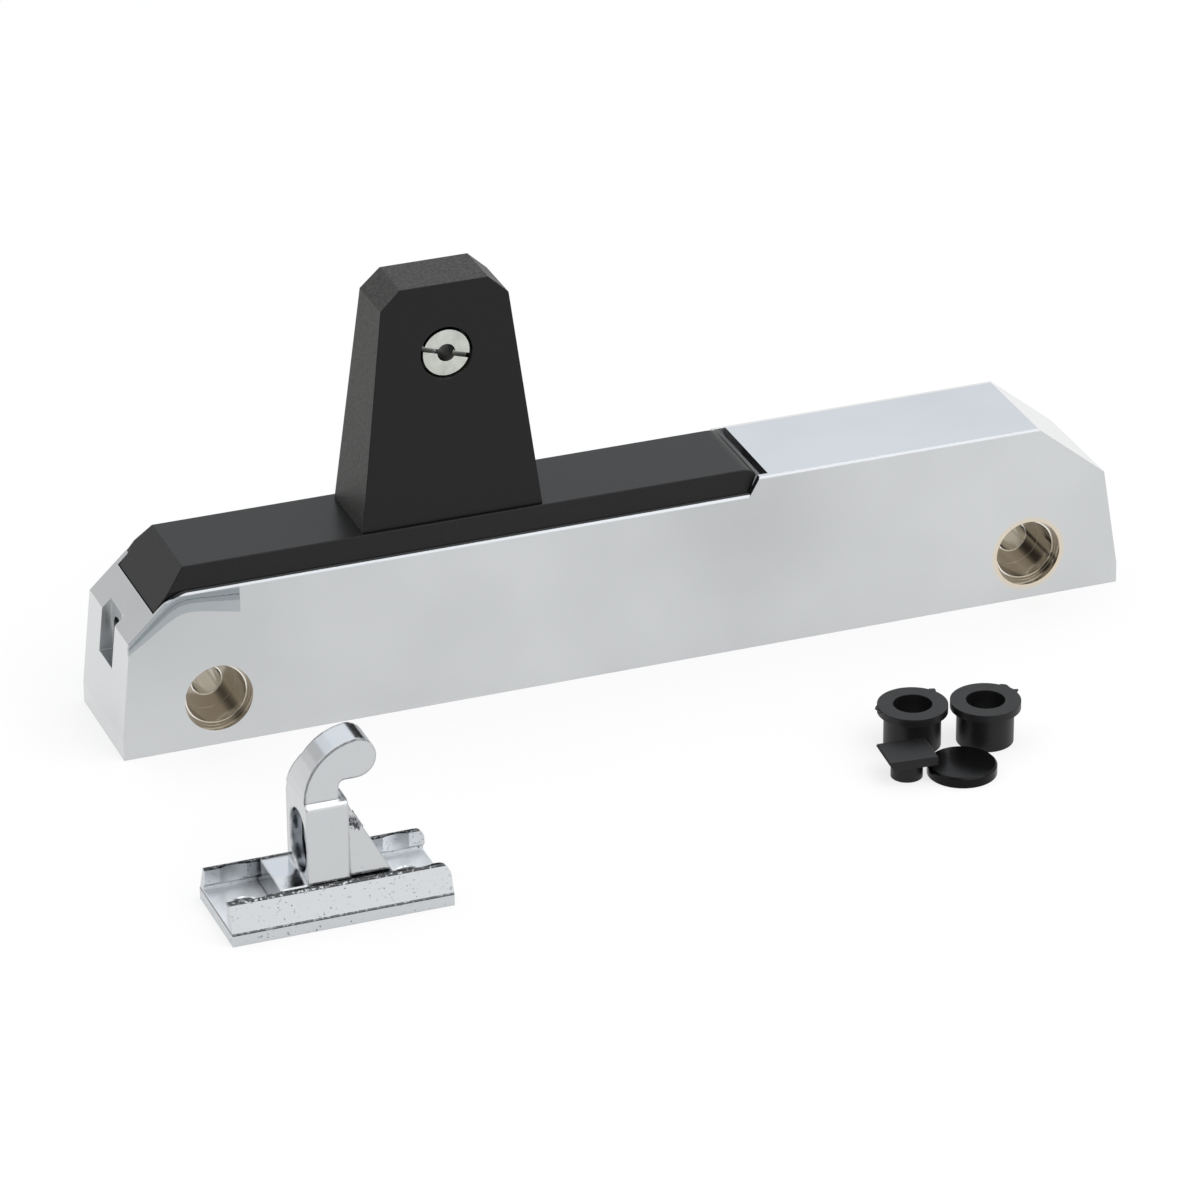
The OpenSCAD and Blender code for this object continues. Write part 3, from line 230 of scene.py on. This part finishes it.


# The striker was plated as it came from the die: pits and dark flecks break its
# shine, and painted shade darkens every inner corner. The tops of the channel's
# walls are the most pitted and carry a painted reflection of the dark hook, a dark
# line of painted shade runs where the walls stand on the plinth, and the channel's
# floor was never polished and is dull, and is painted paler as painted light. The
# outer edge of the hook's face shows a dark line of painted reflection too.
castingLook = {
    "fleck": "#6A6D70", "fleckEdge": 0.05, "waveSize": 7, "zoneStops": [(0.42, 0.15), (0.6, 1)],
    "topReflectionTone": "#3A3B3C", "topReflectionStops": [(0.52, 1), (0.66, 0.35)],
    "creaseShadeTone": "#4A4C4E", "creaseHalf": 0.3, "brokenStops": [(0.35, 0.75), (0.5, 1)],
    "cornerShadeReach": 0.9, "cornerShadeStops": [(0.25, 0.15), (0.55, 1)],
    "floorTone": "#E8EBEE", "floorRoughness": 0.6, "floorTurn": (0.9, 0.97),
    "lipReflectionTone": "#3A3B3C", "lipRadius": 1.2, "lipWay": (-0.6, 0, 0.8),
    "lipLean": (0.1, 0.2), "lipTurn": (-0.35, -0.6),
    "waveDepth": 0.12, "waveStrength": 0.4, "pitDepth": 0.05, "pitStrength": 0.5,
}
# A height of 100 is above the part, so what would start there is left out
strikerLooks = {
    "platedCastingBase": {
        "chrome": "#CACDD0", "roughness": 0.3, "pitSize": 0.8, "fleckShare": 0.62, "edgeRadius": 0.2,
        "darkAbove": -3.5, "creaseHeight": -10.6, "floorLightShare": 0.8, "lipReflectionShare": 0.0, "lipAbove": 0,
    },
    "platedCastingHook": {
        "chrome": "#C6C8CA", "roughness": 0.14, "pitSize": 1.0, "fleckShare": 0.7, "edgeRadius": 1.3,
        "darkAbove": 100, "creaseHeight": 100, "floorLightShare": 0.0, "lipReflectionShare": 0.95, "lipAbove": 20.5,
    },
}


# masks for a painted reflection: a dark line along the hook face's upper left edge
def lipMasks(tree, look, height):
    # where the face turns over its upper left edge, above the hook's block
    lip = addNode(tree, "ShaderNodeBevel", {"samples": edgeSamples}, {"Radius": look["lipRadius"] * mm})[0]
    lean = addNode(tree, "ShaderNodeVectorMath", {"operation": "DOT_PRODUCT"},
                   {0: lip, 1: look["lipWay"]})["Value"]
    least, full = look["lipLean"]
    onLip = addNode(tree, "ShaderNodeMapRange", {}, {0: lean, 1: least, 2: full, 4: look["lipReflectionShare"]})[0]
    outward = addNode(tree, "ShaderNodeSeparateXYZ", {}, {0: lip})[1]
    aside, ahead = look["lipTurn"]
    onFace = addNode(tree, "ShaderNodeMapRange", {}, {0: outward, 1: aside, 2: ahead})[0]
    aboveBlock = addNode(tree, "ShaderNodeMath", {"operation": "GREATER_THAN"},
                         {0: height, 1: look["lipAbove"] * mm})[0]
    return [onLip, onFace, aboveBlock]


def platedCasting(name, look):
    made, tree = newMaterial(name)
    place = addNode(tree, "ShaderNodeTexCoord", {}, {})["Object"]
    height = addNode(tree, "ShaderNodeSeparateXYZ", {}, {0: place})[2]
    facing = addNode(tree, "ShaderNodeNewGeometry", {}, {})["True Normal"]
    upward = addNode(tree, "ShaderNodeSeparateXYZ", {}, {0: facing})[2]
    pits = addNode(tree, "ShaderNodeTexNoise", {},
                   {"Vector": place, "Scale": 1 / (look["pitSize"] * mm), "Detail": 5})[0]
    waves = addNode(tree, "ShaderNodeTexNoise", {},
                    {"Vector": place, "Scale": 1 / (look["waveSize"] * mm), "Detail": 3})[0]

    fleckStops = [(look["fleckShare"], 0), (look["fleckShare"] + look["fleckEdge"], 1)]
    fleck = addNode(tree, "ShaderNodeValToRGB", {"stops": fleckStops}, {0: pits})[0]
    zone = addNode(tree, "ShaderNodeValToRGB", {"stops": look["zoneStops"]}, {0: waves})[0]
    # painted reflection: the tops of the channel's walls are painted dark for the dark hook they mirror,
    # broken by pits
    high = addNode(tree, "ShaderNodeMath", {"operation": "GREATER_THAN"},
                   {0: height, 1: look["darkAbove"] * mm})[0]
    speckle = addNode(tree, "ShaderNodeValToRGB", {"stops": look["topReflectionStops"]}, {0: pits})[0]
    # painted shade: a dark line, broken by pits, where the walls stand on the plinth
    onCrease = addNode(tree, "ShaderNodeMath", {"operation": "COMPARE"},
                       {0: height, 1: look["creaseHeight"] * mm, 2: look["creaseHalf"] * mm})[0]
    broken = addNode(tree, "ShaderNodeValToRGB", {"stops": look["brokenStops"]}, {0: pits})[0]
    tone = paintOver(tree, colour(look["chrome"]), [
        (allOf(tree, [fleck, zone]), look["fleck"]),
        (allOf(tree, [high, speckle]), look["topReflectionTone"]),
        (allOf(tree, [onCrease, broken]), look["creaseShadeTone"]),
    ])

    # painted shade: every inner corner is darkened by occlusion
    corner = addNode(tree, "ShaderNodeAmbientOcclusion", {"samples": cornerSamples},
                     {"Distance": look["cornerShadeReach"] * mm})["AO"]
    cornerShade = addNode(tree, "ShaderNodeValToRGB", {"stops": look["cornerShadeStops"]}, {0: corner})[0]
    tone = addNode(tree, "ShaderNodeMix", {"data_type": "RGBA", "blend_type": "MULTIPLY"},
                   {0: 1.0, 6: tone, 7: cornerShade})[2]

    # painted light: upward faces low in the channel are painted paler, and they are also rougher
    steep, level = look["floorTurn"]
    lying = addNode(tree, "ShaderNodeMapRange", {},
                    {0: upward, 1: steep, 2: level, 4: look["floorLightShare"]})[0]
    low = addNode(tree, "ShaderNodeMath", {"operation": "LESS_THAN"},
                  {0: height, 1: look["darkAbove"] * mm})[0]
    onFloor = allOf(tree, [lying, low])
    tone = paintOver(tree, tone, [
        (onFloor, look["floorTone"]),
        (allOf(tree, lipMasks(tree, look, height) + [broken]), look["lipReflectionTone"]),
    ])
    dull = addNode(tree, "ShaderNodeMix", {},
                   {0: onFloor, 2: look["roughness"], 3: look["floorRoughness"]})[0]

    soft = addNode(tree, "ShaderNodeBevel", {"samples": edgeSamples}, {"Radius": look["edgeRadius"] * mm})[0]
    wavy = addNode(tree, "ShaderNodeBump", {},
                   {"Strength": look["waveStrength"], "Distance": look["waveDepth"] * mm,
                    "Height": waves, "Normal": soft})[0]
    pitted = addNode(tree, "ShaderNodeBump", {"invert": True},
                     {"Strength": look["pitStrength"], "Distance": look["pitDepth"] * mm,
                      "Height": pits, "Normal": wavy})[0]
    finishMaterial(tree, tone, {"Metallic": 1.0, "Roughness": dull, "Normal": pitted})
    return made


# Glass-filled black nylon. The bar's tool was polished and gives a satin face;
# the paddle's and the bushes' tools were spark-eroded. Every face turned away from
# the front is painted paler as painted light, for the light that grazes it from the
# left, most on the paddle, and is speckled by the grain. The real grain is about
# 0.3 mm wide and is drawn at 0.8 mm and more, so that it shows in a picture of the whole.
nylonLook = {"sideTurn": (-0.97, -0.9), "speckleStops": [(0.4, 0.35), (0.62, 1)], "grainStrength": 0.6}
nylonLooks = {
    "satinNylon": {
        "tone": "#0C0C0C", "side": "#161616", "specular": 0.24, "roughness": 0.34,
        "grainSize": 0.8, "grainDepth": 0.01, "edgeRadius": 0.6,
    },
    "grainedNylon": {
        "tone": "#0F0F10", "side": "#3C3A38", "specular": 0.26, "roughness": 0.5,
        "grainSize": 0.8, "grainDepth": 0.1, "edgeRadius": 0.6,
    },
    "mouldedNylon": {
        "tone": "#0F0F10", "side": "#161616", "specular": 0.28, "roughness": 0.42,
        "grainSize": 1.2, "grainDepth": 0.03, "edgeRadius": 0.3,
    },
    "polishedNylon": {
        "tone": "#0B0B0B", "side": "#0E0E0E", "specular": 0.12, "roughness": 0.2,
        "grainSize": 1.6, "grainDepth": 0.02, "edgeRadius": 0.3,
    },
}


def blackNylon(name, look):
    made, tree = newMaterial(name)
    place = addNode(tree, "ShaderNodeTexCoord", {}, {})["Object"]
    facing = addNode(tree, "ShaderNodeNewGeometry", {}, {})["True Normal"]
    forward = addNode(tree, "ShaderNodeSeparateXYZ", {}, {0: facing})[1]
    grain = addNode(tree, "ShaderNodeTexNoise", {},
                    {"Vector": place, "Scale": 1 / (look["grainSize"] * mm), "Detail": 3})[0]
    speckle = addNode(tree, "ShaderNodeValToRGB", {"stops": look["speckleStops"]}, {0: grain})[0]
    # painted light: faces turned away from the front are painted paler, in grain speckles
    ahead, aside = look["sideTurn"]
    sideLightMask = addNode(tree, "ShaderNodeMapRange", {}, {0: forward, 1: ahead, 2: aside})[0]
    tone = paintOver(tree, colour(look["tone"]), [(allOf(tree, [sideLightMask, speckle]), look["side"])])
    soft = addNode(tree, "ShaderNodeBevel", {"samples": edgeSamples}, {"Radius": look["edgeRadius"] * mm})[0]
    grained = addNode(tree, "ShaderNodeBump", {},
                      {"Strength": look["grainStrength"], "Distance": look["grainDepth"] * mm,
                       "Height": grain, "Normal": soft})[0]
    finishMaterial(tree, tone, {"Specular IOR Level": look["specular"], "Roughness": look["roughness"],
                                "Normal": grained})
    return made


# Bare and plated metal, turned, ground, drawn or cast: fine lines and a soft
# sheen, with painted shade darkening slots, holes and inner corners. At a scale of
# 1 a wave texture draws one line in about 0.32 m, its pitch.
metalLook = {
    "wavePitch": 0.32, "lineBend": 1.5, "lineDepth": 0.01, "lineStrength": 0.4,
    "spotSize": 3, "spotStops": [(0.3, 0.8), (0.65, 1)], "cornerShadeStops": [(0.2, 0.1), (0.75, 1)],
    "edgeRadius": 0.15,
}
metalLooks = {
    "turnedNickelBrass": {
        "tone": "#C9CBC5", "roughness": 0.26, "lineSize": 0.5, "axis": "Z", "cornerShadeReach": 7,
    },
    "groundSteel": {
        "tone": "#A9ACAF", "roughness": 0.2, "lineSize": 0.6, "axis": "X", "cornerShadeReach": 1,
    },
    "zincPlatedSteel": {
        "tone": "#B4BBC2", "roughness": 0.3, "lineSize": 0.8, "axis": "X", "cornerShadeReach": 1,
    },
    "springWire": {
        "tone": "#8A8C8F", "roughness": 0.28, "lineSize": 0.6, "axis": "X", "cornerShadeReach": 0.8,
    },
    "bareZincCasting": {
        "tone": "#9A9CA0", "roughness": 0.45, "lineSize": 1.2, "axis": "Z", "cornerShadeReach": 2,
    },
}


def workedMetal(name, look):
    made, tree = newMaterial(name)
    place = addNode(tree, "ShaderNodeTexCoord", {}, {})["Object"]
    scale = look["wavePitch"] / (look["lineSize"] * mm)
    lines = addNode(tree, "ShaderNodeTexWave", {"bands_direction": look["axis"]},
                    {"Vector": place, "Scale": scale, "Distortion": look["lineBend"], "Detail": 2.0})[1]
    spots = addNode(tree, "ShaderNodeTexNoise", {},
                    {"Vector": place, "Scale": 1 / (look["spotSize"] * mm), "Detail": 4})[0]
    spotted = addNode(tree, "ShaderNodeValToRGB", {"stops": look["spotStops"]}, {0: spots})[0]
    # painted shade: slots, holes and inner corners are darkened by occlusion
    corner = addNode(tree, "ShaderNodeAmbientOcclusion", {"samples": cornerSamples},
                     {"Distance": look["cornerShadeReach"] * mm})["AO"]
    cornerShade = addNode(tree, "ShaderNodeValToRGB", {"stops": look["cornerShadeStops"]}, {0: corner})[0]
    tone = colour(look["tone"])
    for shade in (spotted, cornerShade):
        tone = addNode(tree, "ShaderNodeMix", {"data_type": "RGBA", "blend_type": "MULTIPLY"},
                       {0: 1.0, 6: tone, 7: shade})[2]
    soft = addNode(tree, "ShaderNodeBevel", {"samples": edgeSamples}, {"Radius": look["edgeRadius"] * mm})[0]
    lined = addNode(tree, "ShaderNodeBump", {},
                    {"Strength": look["lineStrength"], "Distance": look["lineDepth"] * mm,
                     "Height": lines, "Normal": soft})[0]
    finishMaterial(tree, tone, {"Metallic": 1.0, "Roughness": look["roughness"], "Normal": lined})
    return made


# Natural nylon is milky and waxy; moulded rubber is dull and slightly dusty
softLook = {"stopPlaces": (0.35, 0.65), "grainDepth": 0.02, "grainStrength": 0.3}
softLooks = {
    "naturalNylon": {"shade": "#C4BEA9", "tone": "#DAD6C6", "roughness": 0.38, "grainSize": 1.0},
    "mouldedRubber": {"shade": "#2A2A2A", "tone": "#1E1E1F", "roughness": 0.75, "grainSize": 0.8},
}


def mouldedPolymer(name, look):
    made, tree = newMaterial(name)
    place = addNode(tree, "ShaderNodeTexCoord", {}, {})["Object"]
    grain = addNode(tree, "ShaderNodeTexNoise", {},
                    {"Vector": place, "Scale": 1 / (look["grainSize"] * mm), "Detail": 4})[0]
    stops = list(zip(look["stopPlaces"], (look["shade"], look["tone"])))
    tone = addNode(tree, "ShaderNodeValToRGB", {"stops": stops}, {0: grain})[0]
    grained = addNode(tree, "ShaderNodeBump", {},
                      {"Strength": look["grainStrength"], "Distance": look["grainDepth"] * mm,
                       "Height": grain})[0]
    finishMaterial(tree, tone, {"Roughness": look["roughness"], "Normal": grained})
    return made


finishes = {"satinChrome": satinChrome(housingLook, reflectionBandLook)}
for makeFinish, shared, looks in (
    (platedCasting, castingLook, strikerLooks), (blackNylon, nylonLook, nylonLooks),
    (workedMetal, metalLook, metalLooks), (mouldedPolymer, softLook, softLooks),
):
    for name, look in looks.items():
        finishes[name] = makeFinish(name, {**shared, **look})

nodesOfFinish = {
    "satinChrome": ["housing"],
    "platedCastingBase": ["striker_base"],
    "platedCastingHook": ["striker_hook"],
    "satinNylon": ["lever_bar"],
    "grainedNylon": ["paddle"],
    "mouldedNylon": ["flanged_bush_left", "flanged_bush_right", "lock_plug"],
    "polishedNylon": ["cap_disc"],
    "turnedNickelBrass": ["release_bush"],
    "groundSteel": ["pivot_shaft"],
    "springWire": ["shaft_clips", "return_spring_left", "return_spring_right"],
    "zincPlatedSteel": [
        "latch_bolt", "guide_plate", "guide_screws", "bar_screws", "clamp_screw", "clamp_nut",
    ],
    "bareZincCasting": ["lever_core"],
    "naturalNylon": ["pivot_bushes"],
    "mouldedRubber": ["bolt_buffers"],
}
for finishName, nodeNames in nodesOfFinish.items():
    for nodeName in nodeNames:
        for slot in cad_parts[nodeName].material_slots:
            slot.material = finishes[finishName]
print("materials on", sum(len(names) for names in nodesOfFinish.values()), "nodes")

random.seed(7)


def addPiece(name, verts, faces, finishName, body):
    mesh = bpy.data.meshes.new(name)
    mesh.from_pydata([tuple(c * mm for c in v) for v in verts], [], faces)
    mesh.materials.append(finishes[finishName])
    piece = bpy.data.objects.new(name, mesh)
    bpy.context.scene.collection.objects.link(piece)
    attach(piece, body)


# Flash: slivers of nylon that squeezed out where the bush's mould closed. Each
# starts inside the flange's rim and reaches its furthest a little past its
# middle. Angles are in degrees.
flashLook = {
    "rim": 9.85, "sink": 0.5, "thickness": 0.22, "topHeight": -1.75,
    "steps": 6, "peak": 0.62, "ragged": (0.75, 1.1), "least": 0.02,
    "slivers": [
        {"bush": "left", "angle": 170, "spread": 9, "reach": 1.1},
        {"bush": "left", "angle": 182, "spread": 6, "reach": 1.5},
        {"bush": "left", "angle": 33, "spread": 8, "reach": 1.6},
        {"bush": "right", "angle": 33, "spread": 11, "reach": 1.7},
        {"bush": "right", "angle": 12, "spread": 6, "reach": 1.8},
        {"bush": "right", "angle": 20, "spread": 7, "reach": 0.6},
    ],
}


def flashSliver(look, sliver, number):
    low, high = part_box("flanged_bush_" + sliver["bush"])
    middle = [(low[i] + high[i]) / 2 / mm for i in (0, 1)]
    steps, peak = look["steps"], look["peak"]
    inner, outer = [], []
    for i in range(steps + 1):
        share = i / steps
        angle = math.radians(sliver["angle"] + sliver["spread"] * (share - 0.5) * 2)
        swell = 1 - abs(share - peak) / peak
        reach = sliver["reach"] * swell * random.uniform(*look["ragged"]) + look["least"]
        for ring, radius in ((inner, look["rim"] - look["sink"]), (outer, look["rim"] + reach)):
            ring.append((middle[0] + radius * math.cos(angle), middle[1] + radius * math.sin(angle)))
    outline = inner + outer[::-1]
    count = len(outline)
    top = look["topHeight"] - look["thickness"] * 0.5
    verts = [(x, y, top) for x, y in outline] + [(x, y, top - look["thickness"]) for x, y in outline]
    quads = [(i, i + 1, count - 2 - i, count - 1 - i) for i in range(steps)]
    faces = quads + [tuple(count + i for i in quad[::-1]) for quad in quads]
    faces += [(i, count + i, count + (i + 1) % count, (i + 1) % count) for i in range(count)]
    name = "flash_%s_%d" % (sliver["bush"], number)
    addPiece(name, verts, faces, "mouldedNylon", sliver["bush"] + "_bush")


for number, sliver in enumerate(flashLook["slivers"]):
    flashSliver(flashLook, sliver, number)

# Gate mark: where the sprue was broken off the front of the hook's gusset. It is
# a rough oval swelling, along the gusset's slope, on a block sunk in the metal.
gateLook = {
    "middle": (-118.0, -141.4, 13.2),
    "along": (0.471, 0, -0.882), "across": (0.882, 0, 0.471), "out": (0, -1, 0),
    "halfLength": 2.8, "halfWidth": 1.5, "height": 0.85, "depth": 0.9, "cells": 12,
    "outline": (0.75, 1.05), "grain": (0.2, 1.2), "sunk": 0.15, "wobble": 0.12,
}


def gateMark(look):
    middle, along, across, out = (Vector(look[key]) for key in ("middle", "along", "across", "out"))
    cells = look["cells"]
    verts, faces = [], []
    for i in range(cells + 1):
        for j in range(cells + 1):
            u, v = 2 * i / cells - 1, 2 * j / cells - 1
            swell = max(0.0, 1 - (u * u + v * v) * random.uniform(*look["outline"]))
            height = look["height"] * (math.sqrt(swell) * random.uniform(*look["grain"]) - look["sunk"])
            wobble = random.uniform(-look["wobble"], look["wobble"])
            point = middle + along * (u * look["halfLength"] + wobble)
            point += across * (v * look["halfWidth"] - wobble)
            verts.append(point + out * height)
    count = len(verts)
    verts += [v - out * look["depth"] for v in verts]
    for i in range(cells):
        for j in range(cells):
            a = i * (cells + 1) + j
            quad = (a, a + cells + 1, a + cells + 2, a + 1)
            faces += [quad, tuple(count + k for k in quad[::-1])]
    border = list(range(cells)) + [cells + i * (cells + 1) for i in range(cells)]
    border += [count - 1 - j for j in range(cells)] + [(cells - i) * (cells + 1) for i in range(cells)]
    faces += [(a, b, count + b, count + a) for a, b in zip(border, border[1:] + border[:1])]
    addPiece("gate_mark", verts, faces, "bareZincCasting", "striker_slider")


gateMark(gateLook)
print("small details ready")

# Camera: where the photograph was taken from, with a long lens
cameraPlace = {
    "eye": (-0.597069, -1.597321, 0.855652), "right": (0.934164, -0.356805, -0.005189),
    "up": (0.166502, 0.422972, 0.890714), "back": (-0.315617, -0.832937, 0.454534),
    "lens": 199.9, "shift": (-0.0098, 0.0112), "clip": (0.05, 20),
}
cameraData = bpy.data.cameras.new("photoCamera")
cameraData.lens = cameraPlace["lens"]
cameraData.shift_x, cameraData.shift_y = cameraPlace["shift"]
cameraData.clip_start, cameraData.clip_end = cameraPlace["clip"]
camera = bpy.data.objects.new("photoCamera", cameraData)
bpy.context.scene.collection.objects.link(camera)
turn = Matrix([cameraPlace["right"], cameraPlace["up"], cameraPlace["back"]]).transposed()
camera.matrix_world = Matrix.Translation(cameraPlace["eye"]) @ turn.to_4x4()
bpy.context.scene.camera = camera
bpy.context.scene.view_settings.view_transform = "Standard"

# Studio: a white floor, a white tent that is darker low down behind the part,
# and soft lamps. Camera rays see plain white with the part's faint shadow. A
# dark lamp stand in the tent draws the thin dark lines on rounded edges.
studio = {
    "floorTone": "#DCDCDB", "floorSize": 6.0, "shadowShare": 0.3, "glow": 1.06,
    "tentStrength": 1.3, "tentFront": 0.88, "frontFade": (0.15, -0.25),
    "tentBack": [(0.0, 0.8), (0.22, 0.57), (0.34, 0.56), (0.42, "#E2E6EC"), (0.5, "#F1F6FC"), (0.9, 1.0)],
    "standTone": "#2A2A2A", "standWay": (-0.66, -0.54, 0.52), "standReach": (0.84, 0.92),
    "lamps": [
        {"name": "overheadLamp", "place": (0.54, -0.77, 1.41), "size": 1.5, "power": 9},
        {"name": "leftLamp", "place": (-1.4, -0.2, 0.9), "size": 1.0, "power": 1.5},
    ],
}
white = (1, 1, 1, 1)


def makeFloor(look):
    made, tree = newMaterial("paperSweep")
    rays = addNode(tree, "ShaderNodeLightPath", {}, {})
    seen = addNode(tree, "ShaderNodeMath", {"operation": "MAXIMUM"},
                   {0: rays["Is Camera Ray"], 1: rays["Is Glossy Ray"]})[0]
    share = addNode(tree, "ShaderNodeMath", {"operation": "MULTIPLY"},
                    {0: seen, 1: 1 - look["shadowShare"]})[0]
    paper = addNode(tree, "ShaderNodeBsdfDiffuse", {}, {"Color": colour(look["floorTone"])})[0]
    glow = addNode(tree, "ShaderNodeEmission", {}, {"Color": white, "Strength": look["glow"]})[0]
    both = addNode(tree, "ShaderNodeMixShader", {}, {0: share, 1: paper, 2: glow})[0]
    addNode(tree, "ShaderNodeOutputMaterial", {}, {"Surface": both})
    mesh = bpy.data.meshes.new("studioFloor")
    half = look["floorSize"] / 2
    corners = [(x * half, y * half, floorHeight) for x, y in ((-1, -1), (1, -1), (1, 1), (-1, 1))]
    mesh.from_pydata(corners, [], [(0, 1, 2, 3)])
    mesh.materials.append(made)
    floor = bpy.data.objects.new("studioFloor", mesh)
    bpy.context.scene.collection.objects.link(floor)


def makeTent(look):
    world = bpy.data.worlds.new("whiteTent")
    bpy.context.scene.world = world
    world.use_nodes = True
    tree = world.node_tree
    tree.nodes.clear()
    way = addNode(tree, "ShaderNodeTexCoord", {}, {})["Generated"]
    axes = addNode(tree, "ShaderNodeSeparateXYZ", {}, {0: way})
    behind = addNode(tree, "ShaderNodeValToRGB", {"stops": look["tentBack"]}, {0: axes[2]})[0]
    fadeStart, fadeEnd = look["frontFade"]
    front = addNode(tree, "ShaderNodeMapRange", {}, {0: axes[1], 1: fadeStart, 2: fadeEnd})[0]
    toStand = addNode(tree, "ShaderNodeVectorMath", {"operation": "DOT_PRODUCT"},
                      {0: way, 1: look["standWay"]})["Value"]
    outer, inner = look["standReach"]
    dark = addNode(tree, "ShaderNodeMapRange", {}, {0: toStand, 1: outer, 2: inner})[0]
    level = look["tentFront"]
    wall = paintOver(tree, behind, [(front, (level, level, level, 1)), (dark, look["standTone"])])
    onCamera = addNode(tree, "ShaderNodeLightPath", {}, {})["Is Camera Ray"]
    tent = addNode(tree, "ShaderNodeBackground", {}, {"Color": wall, "Strength": look["tentStrength"]})[0]
    plain = addNode(tree, "ShaderNodeBackground", {}, {"Color": white, "Strength": 1.0})[0]
    both = addNode(tree, "ShaderNodeMixShader", {}, {0: onCamera, 1: tent, 2: plain})[0]
    addNode(tree, "ShaderNodeOutputWorld", {}, {"Surface": both})


def makeLamp(look):
    data = bpy.data.lights.new(look["name"], "AREA")
    data.shape = "DISK"
    data.size = look["size"]
    data.energy = look["power"]
    lamp = bpy.data.objects.new(look["name"], data)
    lamp.location = look["place"]
    lamp.rotation_mode = "QUATERNION"
    lamp.rotation_quaternion = (-Vector(look["place"])).to_track_quat("-Z", "Y")
    bpy.context.scene.collection.objects.link(lamp)


makeFloor(studio)
makeTent(studio)
for lampLook in studio["lamps"]:
    makeLamp(lampLook)
print("studio ready")
